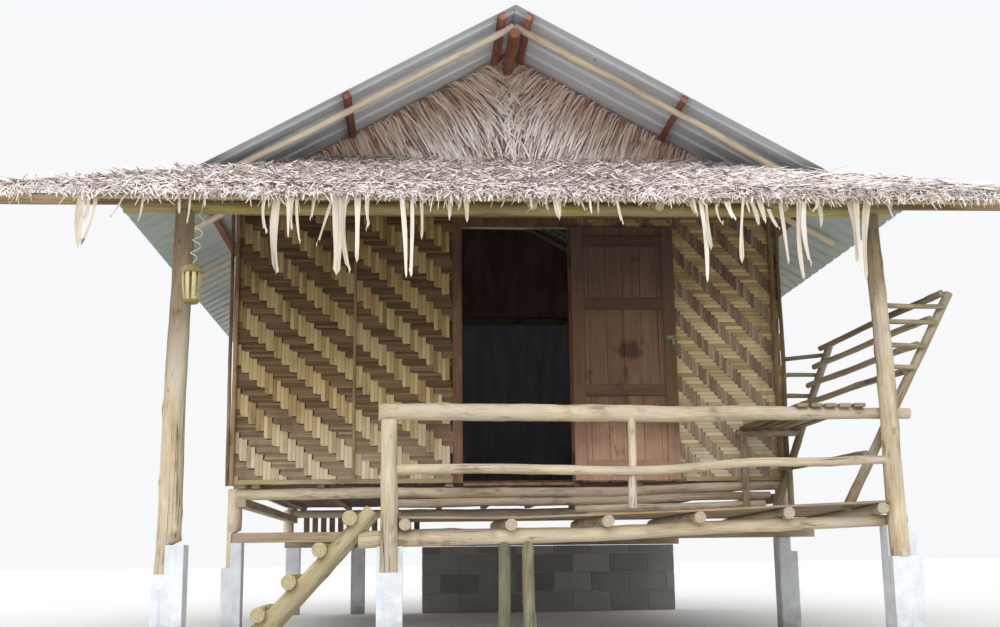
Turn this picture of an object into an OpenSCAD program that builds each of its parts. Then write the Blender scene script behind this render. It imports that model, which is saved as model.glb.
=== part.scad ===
// Stilt house: a raised bamboo room with a ribbed sheet roof, a palm-thatched porch,
// a pole deck with a leaning bench, and a short log stair.
// Millimetres, +Z up. X runs along the front, Y runs back into the house.
// Origin: ground level, under the ridge, midway between the rear verge and the thatched eave.

/* [Room] */
// Width over the side walls
house_w = 4200; // [3600:50:5000]
// Depth over the front and rear walls
house_d = 4200; // [3400:50:5200]
// Height of the underside of the walls above the ground
wall_base_z = 1110; // [1060:5:1300]
// Height of the woven walls
wall_h = 2060; // [1900:10:2400]
// Thickness of the woven bamboo walls
wall_t = 20; // [12:1:30]
// Diameter of the corner posts of the room
corner_post_d = 110; // [80:5:130]
// Thickness of the floor boards
floor_t = 20; // [15:1:30]
// Height of the floor joists
joist_h = 30; // [25:1:50]
// Diameter of the poles over the walls
plate_d = 90; // [70:2:110]

/* [Door] */
// Left edge of the doorway
door_x = -374; // [-500:2:-300]
// Clear width of the doorway
door_w = 830; // [700:5:900]
// Height of the doorway above the underside of the walls
door_h = 1985; // [1800:5:2000]
// Width of the door leaf
leaf_w = 800; // [650:5:820]
// Thickness of the door leaf boards
leaf_t = 25; // [18:1:30]
// Gap around the door leaf
door_gap = 8; // [5:1:15]
// Width of the door posts
jamb_w = 75; // [50:5:90]
// Depth of the door posts
jamb_t = 60; // [50:5:90]

/* [Main roof] */
// Pitch of the main roof in degrees
roof_pitch = 29; // [22:0.5:34]
// Height of the underside of the sheets at the ridge above the top of the walls
ridge_h = 1360; // [1230:10:1500]
// Overhang of the eaves beyond the side walls
eave_overhang = 685; // [500:5:800]
// Overhang of the verges beyond the gable walls
verge_overhang = 910; // [700:10:1000]
// Thickness of the roof sheet
sheet_t = 2; // [1:0.5:4]
// Distance between the ribs of the sheet
rib_pitch = 200; // [150:5:250]
// Height of the ribs
rib_h = 28; // [20:1:40]
// Width of a purlin
purlin_w = 50; // [40:1:60]
// Height of a purlin
purlin_h = 48; // [40:1:80]
// Diameter of a roof rafter
rafter_d = 60; // [45:1:70]
// Diameter of the ridge pole
ridge_pole_d = 80; // [60:2:100]
// Thickness of the gable thatch
gable_t = 70; // [50:5:90]

/* [Porch] */
// Distance from the front wall to the line of the porch posts
porch_d = 1540; // [1300:10:1800]
// Left porch post
post_left_x = -2244; // [-2300:2:-2150]
// Right porch post
post_right_x = 2344; // [2280:2:2400]
// Inward lean of the left porch post over its height
post_left_lean = 30; // [0:5:80]
// Inward lean of the right porch post over its height
post_right_lean = 50; // [0:5:80]
// Diameter of the left porch post at its foot
post_left_d = 150; // [120:2:160]
// Diameter of the right porch post at its foot
post_right_d = 124; // [95:1:130]
// Height of the top of the porch posts
post_top_z = 2765; // [2650:5:2800]
// Diameter of the bamboo eave beam
eave_beam_d = 90; // [70:2:100]
// Pitch of the porch roof in degrees
thatch_pitch = 22; // [20:0.5:23]
// Thickness of the palm thatch
thatch_t = 80; // [60:5:100]
// Distance from the front wall to the eave of the thatch
thatch_reach = 2000; // [1850:10:2200]
// Half length of the thatch where it meets the verge of the main roof
thatch_top_half = 2300; // [2250:10:2400]
// Half length of the thatch near the eave
thatch_low_half = 2950; // [2850:10:3050]
// Half length of the thatch at the eave
thatch_eave_half = 3300; // [3150:10:3500]

/* [Deck] */
// Left end of the deck at the rail post
rail_post_x = -895; // [-1000:5:-800]
// Diameter of the rail post
rail_post_d = 108; // [90:2:120]
// Height of the top of the front deck beam at its left end
deck_beam_z = 737; // [700:1:780]
// Rise of the front deck beam towards its right end
deck_rise = 62; // [0:2:90]
// Diameter of the front deck beam at its left end
deck_beam_d = 108; // [90:2:120]
// How much thinner the front deck beam is at its right end
deck_beam_taper = 36; // [0:2:44]
// Diameter of the deck joists
deck_joist_d = 75; // [60:1:85]
// Number of deck joists
deck_joists_n = 6; // [5:1:8]
// Thickness of the deck slats
slat_t = 12; // [10:1:30]
// Width of a deck slat
slat_w = 84; // [70:2:100]
// Number of deck slats
slats_n = 17; // [12:1:17]
// Height of the centre of the top rail
top_rail_z = 1465; // [1400:5:1500]
// Diameter of the top rail at its left end
top_rail_d = 112; // [90:2:140]
// How much thinner the top rail is at its right end
top_rail_taper = 36; // [0:2:40]
// Height of the centre of the middle rail
mid_rail_z = 1105; // [1050:5:1200]
// Diameter of the middle rail
mid_rail_d = 62; // [50:1:70]

/* [Bench] */
// Height of the seat above the ground
seat_z = 1490; // [1486:1:1492]
// Lean of the front bench post from upright in degrees
bench_lean_front = 29; // [24:0.5:30]
// Lean of the rear bench post from upright in degrees
bench_lean_rear = 21.5; // [20:0.5:24]
// Diameter of the leaning bench posts
bench_post_d = 64; // [50:1:70]
// Diameter of the back poles
back_pole_d = 46; // [36:1:54]
// Number of back poles
back_poles_n = 4; // [3:1:5]
// Distance between the back poles along the front bench post
back_pole_gap_front = 202; // [190:2:210]
// Distance between the back poles along the rear bench post
back_pole_gap_rear = 156; // [145:2:165]
// Width of a seat slat
seat_slat_w = 74; // [60:1:78]
// Number of seat slats
seat_slats_n = 5; // [4:1:5]

/* [Footings] */
// Width of a concrete stump
stump_w = 190; // [160:5:220]
// Width of a stump under the room
house_stump_w = 145; // [120:5:160]
// Height of the stumps under the room
house_stump_h = 687; // [600:1:720]
// Depth of the half lap where a post meets its stump
lap = 66; // [50:1:72]
// Height of the ledge that a post foot stands on
ledge_z = 480; // [400:5:560]
// Length of the block wall at the rear
block_wall_w = 2700; // [1800:50:2800]
// Thickness of the blocks
block_t = 120; // [100:10:150]

/* [Stair] */
// Place of the foot of the stair
stair_foot_x = -1790; // [-1900:10:-1700]
// Place of the top of the stair
stair_top_x = -1000; // [-1080:5:-990]
// Diameter of the stair logs at their tops
stringer_d = 86; // [76:1:110]
// Diameter of the stair logs at their feet
stringer_foot_d = 124; // [90:1:130]
// Diameter of the treads
tread_d = 92; // [80:2:110]
// Number of treads
treads_n = 4; // [3:1:4]

/* [Lantern] */
// Outer diameter of the bamboo lantern
lantern_d = 130; // [100:5:150]
// Height of its cage
lantern_h = 250; // [200:10:300]

/* [Hidden] */
$fn = 24;

// Clearance between coped logs
fit = 0.15;
// Overshoot of a cut
eps = 1;

hw = house_w / 2;
wall_top_z = wall_base_z + wall_h;
ridge_z = wall_top_z + ridge_h;
joist_z = wall_base_z - joist_h;
corner_x = hw - wall_t - corner_post_d / 2;
corner_y = wall_t + corner_post_d / 2;
far_y = house_d - corner_y;

// Main roof surfaces
function sheet_z(x) = ridge_z - abs(x) * tan(roof_pitch);
eave_x = hw + eave_overhang;
roof_y0 = -verge_overhang;
roof_len = house_d + 2 * verge_overhang;
slope_len = eave_x / cos(roof_pitch);
purlin_drop = purlin_h / cos(roof_pitch);
rafter_drop = (purlin_h + rafter_d / 2) / cos(roof_pitch);
rafter_low = (purlin_h + rafter_d) / cos(roof_pitch);
purlin_xs = [110, 1235, 2330];
plate_x = corner_x;
plate_z = sheet_z(plate_x) - rafter_low - plate_d / 2 + 2;
ridge_pole_z = ridge_z - rafter_low - ridge_pole_d / 2 + 4;

// Deck: the front beam rises a little to the right, the rear ends rest on the bearer
deck_x0 = rail_post_x + rail_post_d / 2 + 5;
deck_x1 = post_right_x - post_right_d / 2 - 12;
beam_y = -porch_d + 75;
bearer_h = 72;
bearer_t = 80;
bearer_z = house_stump_h;
bearer_top = bearer_z + bearer_h;
deck_seat = 6;
function beam_top(x) = deck_beam_z + deck_rise * (x - deck_x0) / (deck_x1 - deck_x0);
function beam_d(x) = deck_beam_d - deck_beam_taper * (x - deck_x0) / (deck_x1 - deck_x0);
function joist_x(i) = deck_x0 + 45 + i * (deck_x1 - deck_x0 - 75) / (deck_joists_n - 1);
function joist_front_z(i) = beam_top(joist_x(i)) + deck_joist_d / 2 - deck_seat;
joist_rear_z = bearer_top + deck_joist_d / 2 - deck_seat;
joist_y0 = -porch_d - 45;
joist_y1 = 85;
function joist_z_at(i, y) = joist_front_z(i)
  + (joist_rear_z - joist_front_z(i)) * (y - joist_y0) / (joist_y1 - joist_y0);

// Moves a piece from the front wall's frame, where y = 0 is the outer face of the front wall,
// to the origin of the part
front_wall_y = -(house_d + verge_overhang - thatch_reach) / 2;
module placed() {
  translate([0, front_wall_y, 0]) children();
}

// A round log between two points
module log_between(a, b, d1, d2) {
  v = b - a;
  l = norm(v);
  translate(a) rotate([0, acos(v[2] / l), atan2(v[1], v[0])]) cylinder(h = l, d1 = d1, d2 = d2);
}

// A block given by its two corners
module block(a, b) {
  translate(a) cube(b - a);
}

// Footings

stump_front_y = -porch_d - 58;
stump_back_y = beam_y + deck_beam_d / 2 + 8;

// A stump with a notch for the post foot in front and a bed for the deck beam behind
module notched_stump(x, w, ledge, top) {
  difference() {
    block([x - w / 2, stump_front_y, 0], [x + w / 2, stump_back_y, top]);
    block([x - w / 2 - eps, stump_front_y - eps, ledge], [x + w / 2 + eps, stump_front_y + lap, top + eps]);
  }
}

left_stump_top = ledge_z + 175;
left_stump_in = 18;

module left_porch_stump() {
  x0 = post_left_x + left_stump_in - stump_w / 2;
  difference() {
    block([x0, -porch_d - 85, 0], [x0 + stump_w, -porch_d + 85, left_stump_top]);
    block([x0 - eps, -porch_d - 85 - eps, ledge_z],
          [post_left_x, -porch_d + 85 + eps, left_stump_top + eps]);
  }
}

mid_stump_top = beam_top(rail_post_x) - beam_d(rail_post_x) + deck_seat;
right_stump_top = beam_top(post_right_x) - beam_d(post_right_x) + deck_seat;
mid_stump_x = rail_post_x + 5;
right_stump_x = post_right_x + 20;
right_ledge_z = ledge_z + 58;

module porch_footings() {
  color("lightgrey") placed() {
    left_porch_stump();
    difference() {
      notched_stump(mid_stump_x, stump_w - 30, ledge_z - 6, mid_stump_top);
      front_beam_log(fit);
    }
    difference() {
      notched_stump(right_stump_x, stump_w, right_ledge_z, right_stump_top);
      front_beam_log(fit);
    }
  }
}

front_stump_xs = [-hw + 31, hw - 30];
// The front left post runs down beside the bearer and is lapped into its stump
corner_lap_x = -hw + 22;
corner_lap_z = house_stump_h - 179;
// A corner is missing at the top of the front right stump
chip_w = 50;
chip_h = 105;
rear_stump_xs = [-hw + 90, -hw + 770];
rear_bearer_y = house_d - 50;

module house_footings() {
  color("silver") placed() {
    difference() {
      for (x = front_stump_xs)
        block([x - house_stump_w / 2, 50 - house_stump_w / 2, 0],
              [x + house_stump_w / 2, 50 + house_stump_w / 2, house_stump_h]);
      block([-hw - house_stump_w, 50 - house_stump_w, corner_lap_z],
            [corner_lap_x, 50 + house_stump_w, house_stump_h + eps]);
      block([front_stump_xs[1] + house_stump_w / 2 - chip_w, 50 - house_stump_w, house_stump_h - chip_h],
            [hw + house_stump_w, 50 + house_stump_w, house_stump_h + eps]);
    }
    for (x = rear_stump_xs)
      block([x - house_stump_w / 2, rear_bearer_y - house_stump_w / 2, 0],
            [x + house_stump_w / 2, rear_bearer_y + house_stump_w / 2, house_stump_h]);
  }
}

module rear_block_wall() {
  x1 = hw - 60;
  color("darkgrey") placed()
    block([x1 - block_wall_w, rear_bearer_y - block_t / 2, 0],
          [x1, rear_bearer_y + block_t / 2, house_stump_h]);
}

// Base of the room

bearer_half = hw + 2;
module bearer_at(y, x0, x1) {
  block([x0, y - bearer_t / 2, bearer_z], [x1, y + bearer_t / 2, bearer_top]);
}

// The front bearer runs on to carry the last deck joist
module front_bearer() {
  bearer_at(50, corner_lap_x, deck_x1 + 20);
}

module bearers() {
  color("peru") placed() {
    front_bearer();
    bearer_at(rear_bearer_y, -bearer_half, bearer_half);
  }
}

floor_post_d = 108;
floor_post_x = hw - 36;
side_beam_w = 75;
side_beam_h = 65;
side_beam_x = hw - 85;
sill_d = 84;
sill_top = joist_z;
side_beam_top = sill_top - 69;

module corner_lap(y) {
  intersection() {
    translate([-floor_post_x, y, corner_lap_z]) cylinder(h = joist_z - corner_lap_z, d = floor_post_d);
    block([-hw - floor_post_d, y - floor_post_d, corner_lap_z], [corner_lap_x, y + floor_post_d, joist_z]);
  }
}

module floor_post(sx, y) {
  difference() {
    union() {
      translate([sx * floor_post_x, y, bearer_top]) cylinder(h = joist_z - bearer_top, d = floor_post_d);
      if (sx < 0 && y < house_d / 2)
        corner_lap(y);
    }
    side_beam(sx, 0.2);
    sill_log_1(0.2);
    rear_sill_log(0.2);
  }
}

module floor_posts() {
  color("tan") placed() {
    for (sx = [-1, 1]) {
      floor_post(sx, 50);
      floor_post(sx, rear_bearer_y);
    }
  }
}

module side_beam(sx, grow = 0) {
  xc = sx * side_beam_x;
  block([xc - side_beam_w / 2 - grow, -15, side_beam_top - side_beam_h - grow],
        [xc + side_beam_w / 2 + grow, house_d + 15, side_beam_top + grow]);
}

module side_beams() {
  color("peru") placed() {
    side_beam(-1);
    side_beam(1);
  }
}

sill_y = 40;
sill_x1 = side_beam_x + side_beam_w / 2 + 10;
module sill_log_1(grow = 0) {
  z = sill_top - sill_d / 2;
  log_between([-sill_x1, sill_y, z], [sill_x1, sill_y, z], sill_d + 2 * grow, sill_d + 2 * grow);
}

module rear_sill_log(grow = 0) {
  z = sill_top - sill_d / 2;
  log_between([-sill_x1, house_d - sill_y, z], [sill_x1, house_d - sill_y, z],
              sill_d + 2 * grow, sill_d + 2 * grow);
}

// Logs stacked on the deck joists up to the floor edge: ends and height of each
step_xs = [[-935, 1930], [488, 1893], [560, 1860]];
step_n = len(step_xs);
step_seat = 4;
step_low = joist_rear_z + deck_joist_d / 2 - step_seat;
step_d = (sill_top - sill_d + step_seat - step_low + (step_n - 1) * step_seat) / step_n;
module step_log(k, grow = 0) {
  z = sill_top - sill_d + step_seat - step_d / 2 - k * (step_d - step_seat);
  log_between([step_xs[k][0], sill_y - 6, z], [step_xs[k][1], sill_y - 6, z],
              step_d + 2 * grow, step_d + 2 * grow);
}

module sill_logs() {
  color("burlywood") placed() {
    difference() {
      sill_log_1();
      side_beam(-1, 0.1);
      side_beam(1, 0.1);
    }
    difference() {
      rear_sill_log();
      side_beam(-1, 0.1);
      side_beam(1, 0.1);
    }
    difference() {
      step_log(0);
      sill_log_1(fit);
    }
    for (k = [1 : step_n - 1])
      difference() {
        step_log(k);
        step_log(k - 1, fit);
        if (k == step_n - 1)
          for (i = [0 : deck_joists_n - 1])
            deck_joist(i, fit);
      }
  }
}

floor_joists_n = 9;
module floor_joist(i, grow = 0) {
  span = 2 * (corner_x - corner_post_d / 2 - 60);
  x = -span / 2 + i * span / (floor_joists_n - 1);
  block([x - 30 - grow, 4, joist_z - grow], [x + 30 + grow, house_d - 4, wall_base_z]);
}

module floor_joists() {
  color("saddlebrown") placed()
    for (i = [0 : floor_joists_n - 1])
      floor_joist(i);
}

module floor_boards() {
  x1 = hw - wall_t;
  y0 = jamb_t + 2;
  color("sienna") placed()
    difference() {
      block([-x1, y0, wall_base_z], [x1, house_d - y0, wall_base_z + floor_t]);
      for (sx = [-1, 1], y = [corner_y, far_y])
        translate([sx * corner_x, y, wall_base_z - eps])
          cylinder(h = floor_t + 2 * eps, d = corner_post_d + 0.6);
    }
}

// Dark slats that close the space under the rear wall on its left part
skirt_pitch = 90;
skirt_w = 60;
skirt_t = 12;
module rear_skirt() {
  x0 = -hw + 190;
  x1 = hw - 60 - block_wall_w;
  n = floor((x1 - x0) / skirt_pitch);
  y0 = rear_bearer_y + bearer_t / 2;
  color("dimgrey") placed()
    difference() {
      for (i = [0 : n])
        block([x0 + i * skirt_pitch, y0, bearer_z + 5], [x0 + i * skirt_pitch + skirt_w, y0 + skirt_t, joist_z - 4]);
      rear_sill_log(fit);
    }
}

// Walls

corner_post_top = plate_z - plate_d / 2 + 12;

module corner_post(sx, y, grow = 0) {
  translate([sx * corner_x, y, joist_z])
    cylinder(h = corner_post_top - joist_z, d = corner_post_d + 2 * grow);
}

module corner_posts() {
  color("burlywood") placed()
    for (sx = [-1, 1], y = [corner_y, far_y])
      difference() {
        corner_post(sx, y);
        side_plate(sx, fit);
      }
}

door_x1 = door_x + door_w;
door_top_z = wall_base_z + door_h;
wall_left_x1 = door_x - jamb_w;
wall_right_x0 = door_x1 + jamb_w;

// Walls are cut round the poles and rafters that cross them
module roof_poles() {
  for (sx = [-1, 1])
    side_plate(sx, fit);
  all_rafters(fit);
}

module front_wall_left() {
  color("tan") placed()
    difference() {
      block([-hw, 0, wall_base_z], [wall_left_x1, wall_t, wall_top_z]);
      roof_poles();
    }
}

module front_wall_right() {
  color("tan") placed()
    difference() {
      block([wall_right_x0, 0, wall_base_z], [hw, wall_t, wall_top_z]);
      roof_poles();
    }
}

module door_header() {
  color("sienna") placed()
    block([wall_left_x1, 0, door_top_z], [wall_right_x0, wall_t, wall_top_z]);
}

module side_wall(sx) {
  xc = sx * (hw - wall_t / 2);
  color("tan") placed()
    difference() {
      block([xc - wall_t / 2, wall_t, wall_base_z], [xc + wall_t / 2, house_d - wall_t, wall_top_z]);
      roof_poles();
    }
}

module left_wall() {
  side_wall(-1);
}

module right_wall() {
  side_wall(1);
}

module rear_wall() {
  color("tan") placed()
    difference() {
      block([-hw, house_d - wall_t, wall_base_z], [hw, house_d, wall_top_z]);
      roof_poles();
    }
}

batten_t = 14;
batten_w = 34;
seam_x = -1190;
pole_d = 46;
batten_x1 = hw - pole_d / 2 - 1;
module wall_battens() {
  color("burlywood") placed() {
    block([-batten_x1, -batten_t, wall_base_z], [wall_left_x1 - 4, 0, wall_base_z + batten_w]);
    block([seam_x - 20, -batten_t, wall_base_z + batten_w + 1], [seam_x + 20, 0, wall_top_z]);
    block([door_x1 + leaf_w + 60, -batten_t, wall_base_z], [batten_x1, 0, wall_base_z + batten_w]);
    corner_poles(-1);
    corner_poles(1);
  }
}

// A thin board under the doorway, in front of the floor joists
sill_board_t = 24;
module door_frame() {
  color("sienna") placed()
    block([door_x + 2, 4 - sill_board_t, wall_base_z - 22], [door_x1 - 2, 4, wall_base_z - 0.5]);
  color("sienna") placed()
    difference() {
      union() {
        block([door_x - jamb_w, 0, wall_base_z], [door_x, jamb_t, door_top_z]);
        block([door_x1, 0, wall_base_z], [door_x1 + jamb_w, jamb_t, door_top_z]);
      }
      tie_pole(wall_t + tie_d / 2, fit);
    }
}

// Poles over the walls: one along each side, one across each end

module side_plate(sx, grow = 0) {
  translate([sx * plate_x, -160, plate_z]) rotate([-90, 0, 0])
    cylinder(h = house_d + 320, d = plate_d + 2 * grow);
}

tie_d = 80;
module tie_pole(y, grow = 0) {
  x1 = corner_x - corner_post_d / 2 - 0.2;
  log_between([-x1, y, wall_top_z - tie_d / 2], [x1, y, wall_top_z - tie_d / 2],
              tie_d + 2 * grow, tie_d + 2 * grow);
}

module wall_plates() {
  color("burlywood") placed() {
    for (sx = [-1, 1])
      difference() {
        side_plate(sx);
        all_rafters(fit);
      }
    tie_pole(wall_t + tie_d / 2);
    tie_pole(house_d - wall_t - tie_d / 2);
  }
}

// Main roof

// Distance of the outer rafters from the verge
verge_rafter_in = 190;
ridge_pole_in = verge_rafter_in - 50;
rafter_ys = [roof_y0 + verge_rafter_in, gable_t + rafter_d / 2 + 0.2, house_d / 3, 2 * house_d / 3,
             house_d - gable_t - rafter_d / 2 - 0.2, house_d + verge_overhang - verge_rafter_in];
rafter_end_x = eave_x - 90;

module rafter(sx, y, grow = 0) {
  log_between([0, y, ridge_z - rafter_drop],
              [sx * rafter_end_x, y, sheet_z(rafter_end_x) - rafter_drop],
              rafter_d + 2 * grow, rafter_d + 2 * grow);
}

module all_rafters(grow = 0) {
  for (y = rafter_ys, sx = [-1, 1])
    rafter(sx, y, grow);
}

// The two rafters of a pair meet over the ridge pole with plumb cuts
module rafters() {
  color("wheat") placed()
    for (y = rafter_ys, sx = [-1, 1])
      difference() {
        rafter(sx, y);
        block([-sx * 60 - 61, y - 60, ridge_z - 300], [-sx * 60 + 61, y + 60, ridge_z + 100]);
      }
}

module ridge_pole() {
  color("burlywood") placed()
    difference() {
      translate([0, roof_y0 + ridge_pole_in, ridge_pole_z]) rotate([-90, 0, 0])
        cylinder(h = roof_len - 2 * ridge_pole_in, d = ridge_pole_d);
      all_rafters(fit);
    }
}

module purlin(sx, x, grow = 0) {
  translate([sx * x, roof_y0 + 20, sheet_z(x)]) rotate([0, sx * roof_pitch, 0])
    translate([-purlin_w / 2 - grow, 0, -purlin_h - grow])
      cube([purlin_w + 2 * grow, roof_len - 40, purlin_h + grow - 0.05]);
}

module purlins() {
  color("firebrick") placed()
    for (sx = [-1, 1], x = purlin_xs)
      purlin(sx, x);
}

// Profile of the ribbed sheet, along the roof and across its thickness
rib_top = 30;
rib_foot = 62;
ribs_n = floor((roof_len - rib_foot) / rib_pitch);
rib_margin = (roof_len - ribs_n * rib_pitch) / 2;
function rib_points(i, up) = let (c = rib_margin + i * rib_pitch)
  [[c - rib_foot / 2, up], [c - rib_top / 2, rib_h + up], [c + rib_top / 2, rib_h + up], [c + rib_foot / 2, up]];
sheet_upper = [for (i = [0 : ribs_n]) each rib_points(i, sheet_t)];
sheet_lower = [for (i = [ribs_n : -1 : 0]) let (p = rib_points(i, 0)) each [p[3], p[2], p[1], p[0]]];

module sheet_profile() {
  polygon(concat([[0, sheet_t]], sheet_upper, [[roof_len, sheet_t], [roof_len, 0]], sheet_lower, [[0, 0]]));
}

module roof_sheet(sx) {
  color("lightslategrey") placed()
    translate([0, roof_y0, ridge_z]) rotate([0, sx * roof_pitch, 0])
      translate([sx > 0 ? 0.6 : -slope_len, 0, 0])
        rotate([90, 0, 90]) linear_extrude(slope_len - 0.6) sheet_profile();
}

module roof_sheet_left() {
  roof_sheet(-1);
}

module roof_sheet_right() {
  roof_sheet(1);
}

cap_w = 220;
// The cap stops short of the verges
cap_in = 150;
module ridge_cap() {
  c = cos(roof_pitch);
  s = sin(roof_pitch);
  up = (rib_h + sheet_t + 0.2) / c;
  color("lightslategrey") placed()
    translate([0, roof_y0 + roof_len - cap_in, 0]) rotate([90, 0, 0]) linear_extrude(roof_len - 2 * cap_in)
      polygon([[0, ridge_z + up + sheet_t / c], [cap_w * c, ridge_z + up + sheet_t / c - cap_w * s],
               [cap_w * c, ridge_z + up - cap_w * s], [0, ridge_z + up],
               [-cap_w * c, ridge_z + up - cap_w * s],
               [-cap_w * c, ridge_z + up + sheet_t / c - cap_w * s]]);
}

// Palm thatch in the gables, fitted round the purlins
module gable_thatch(y0) {
  xe = min(hw - 8, (ridge_h - 8) / tan(roof_pitch));
  color("rosybrown") placed()
    difference() {
      translate([0, y0 + gable_t, 0]) rotate([90, 0, 0]) linear_extrude(gable_t)
        polygon([[-xe, wall_top_z + 0.2], [xe, wall_top_z + 0.2], [xe, sheet_z(xe) - 6],
                 [0, ridge_z - 6], [-xe, sheet_z(xe) - 6]]);
      for (sx = [-1, 1], x = purlin_xs)
        purlin(sx, x, 0.5);
      translate([0, -eps, ridge_pole_z]) rotate([-90, 0, 0])
        cylinder(h = house_d + 2 * eps, d = ridge_pole_d + 1);
      for (sx = [-1, 1]) {
        side_plate(sx, 0.5);
        corner_post(sx, corner_y, 0.5);
        corner_post(sx, far_y, 0.5);
      }
    }
}

module gable_thatch_front() {
  gable_thatch(0);
}

module gable_thatch_rear() {
  gable_thatch(house_d - gable_t);
}

// Porch

function post_lean(x) = x < 0 ? post_left_lean : -post_right_lean;
function post_x(x, z) = x + post_lean(x) * (z - ledge_z) / (post_top_z - ledge_z);

// Posts start a little below their ledge and are cut level there
post_under = 20;
module left_post(grow = 0) {
  z0 = ledge_z - post_under;
  difference() {
    log_between([post_x(post_left_x, z0), -porch_d, z0], [post_x(post_left_x, post_top_z), -porch_d, post_top_z],
                post_left_d + 2 * grow, post_left_d - 28 + 2 * grow);
    block([post_left_x - 200, -porch_d - 200, z0 - 100], [post_left_x + 200, -porch_d + 200, ledge_z]);
    block([post_left_x - 0.2 - grow, -porch_d - 100, ledge_z - eps],
          [post_left_x + 100, -porch_d + 100, left_stump_top + 0.2 - grow]);
  }
}

module right_post(grow = 0) {
  z0 = right_ledge_z - post_under;
  difference() {
    log_between([post_x(post_right_x, z0), -porch_d - 4, z0],
                [post_x(post_right_x, post_top_z), -porch_d - 4, post_top_z],
                post_right_d + 2 * grow, post_right_d - 18 + 2 * grow);
    block([post_right_x - 200, -porch_d - 200, z0 - 100], [post_right_x + 200, -porch_d + 200, right_ledge_z]);
    block([post_right_x - 100, stump_front_y + lap - 0.2 - grow, right_ledge_z - eps],
          [post_right_x + 100, -porch_d + 100, beam_top(post_right_x) + 10]);
  }
}

module porch_posts() {
  color("burlywood") placed() {
    difference() {
      left_post();
      eave_log(fit);
      eave_board(-1, fit);
    }
    difference() {
      right_post();
      eave_log(fit);
      eave_board(1, fit);
    }
  }
}

rail_post_top = top_rail_z - top_rail_d / 2 + 14;
module rail_post() {
  color("burlywood") placed()
    difference() {
      translate([rail_post_x, stump_front_y + rail_post_d / 2 + 1, ledge_z - 6])
        cylinder(h = rail_post_top - ledge_z + 6, d1 = rail_post_d, d2 = rail_post_d - 8);
      block([rail_post_x - 100, stump_front_y + lap - 0.2, ledge_z - 10],
            [rail_post_x + 100, stump_front_y + 200, beam_top(rail_post_x) + 10]);
      top_rail_log(fit);
    }
}

eave_beam_z = post_top_z + eave_beam_d / 2 - 10;
eave_beam_y = -porch_d;
board_h = 95;
board_t = 26;
eave_board_x0 = 2400;

module eave_log(grow = 0) {
  log_between([-2600, eave_beam_y, eave_beam_z], [2420, eave_beam_y, eave_beam_z],
              eave_beam_d + 2 * grow, eave_beam_d - 8 + 2 * grow);
}

// Boards that carry the thatch on beyond the bamboo beam
module eave_board(sx, grow = 0) {
  x0 = sx > 0 ? 1950 : -thatch_eave_half + 60;
  x1 = sx > 0 ? thatch_eave_half - 60 : -2180;
  y1 = eave_beam_y - eave_beam_d / 2 - 0.2;
  block([x0 - grow, y1 - board_t - grow, eave_beam_z - board_h / 2 - grow],
        [x1 + grow, y1 + grow, eave_beam_z + board_h / 2 + grow]);
}

module porch_eave_beam() {
  color("darkkhaki") placed() eave_log();
  color("brown") placed() {
    eave_board(-1);
    eave_board(1);
  }
}

// The thatch is tied to thin laths on poles that run from the eave to a pole along the wall
thatch_pole_d = 56;
ledger_d = 80;
ledger_half = 1650;
ledger_y = -ledger_d / 2 - 2;
lath_d = 30;
lath_seat = 2;
eave_top_z = eave_beam_z + eave_beam_d / 2;
function thatch_pole_z(y) = eave_top_z + thatch_pole_d / 2 / cos(thatch_pitch) - 5
  + (y - eave_beam_y) * tan(thatch_pitch);
function thatch_z(y) = thatch_pole_z(y) + (thatch_pole_d / 2 + lath_d - lath_seat) / cos(thatch_pitch);
ledger_z = thatch_pole_z(ledger_y) - thatch_pole_d / 2 / cos(thatch_pitch) - ledger_d / 2 + 4;
thatch_pole_xs = [-1600, -800, 0, 800, 1600];
thatch_pole_y0 = -thatch_reach + 70;
// Where the thatch starts to widen towards the eave
thatch_low = thatch_reach - 200;
// Half length of the thatch in front of the verge, and of the room for a lath behind it
function thatch_half(y) = y < -thatch_low
  ? thatch_low_half + (thatch_eave_half - thatch_low_half) * (-y - thatch_low) / (thatch_reach - thatch_low)
  : thatch_top_half + (thatch_low_half - thatch_top_half) * (roof_y0 - y) / (roof_y0 + thatch_low);
function lath_room(y) = (ridge_z - purlin_drop - thatch_z(y)) / tan(roof_pitch) - 190;
function lath_half(y) = y < roof_y0 ? thatch_half(y) - 60 : lath_room(y);
// The lath that carries the lantern stands clear of the post in front of the porch
lantern_gap = 180;
lath_ys = [-thatch_reach + 60, -porch_d - lantern_gap, -thatch_low + 470, roof_y0 - lath_d, roof_y0 + 450, -60];

module thatch_pole(x, grow = 0) {
  log_between([x, thatch_pole_y0, thatch_pole_z(thatch_pole_y0)], [x, -12, thatch_pole_z(-12)],
              thatch_pole_d + 2 * grow, thatch_pole_d + 2 * grow);
}

module ledger(grow = 0) {
  log_between([-ledger_half, ledger_y, ledger_z], [ledger_half, ledger_y, ledger_z],
              ledger_d + 2 * grow, ledger_d + 2 * grow);
}

module lath(k, grow = 0) {
  z = thatch_z(lath_ys[k]) - lath_d / 2 / cos(thatch_pitch);
  half = lath_half(lath_ys[k]);
  log_between([-half, lath_ys[k], z], [half, lath_ys[k], z],
              lath_d + 2 * grow, lath_d + 2 * grow);
}

module porch_rafters() {
  color("wheat") placed() {
    for (x = thatch_pole_xs)
      difference() {
        thatch_pole(x);
        eave_log(fit);
        ledger(fit);
      }
    ledger();
  }
}

module porch_laths() {
  color("wheat") placed()
    difference() {
      for (k = [0 : len(lath_ys) - 1])
        lath(k);
      for (x = thatch_pole_xs)
        thatch_pole(x, fit);
    }
}

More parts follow.
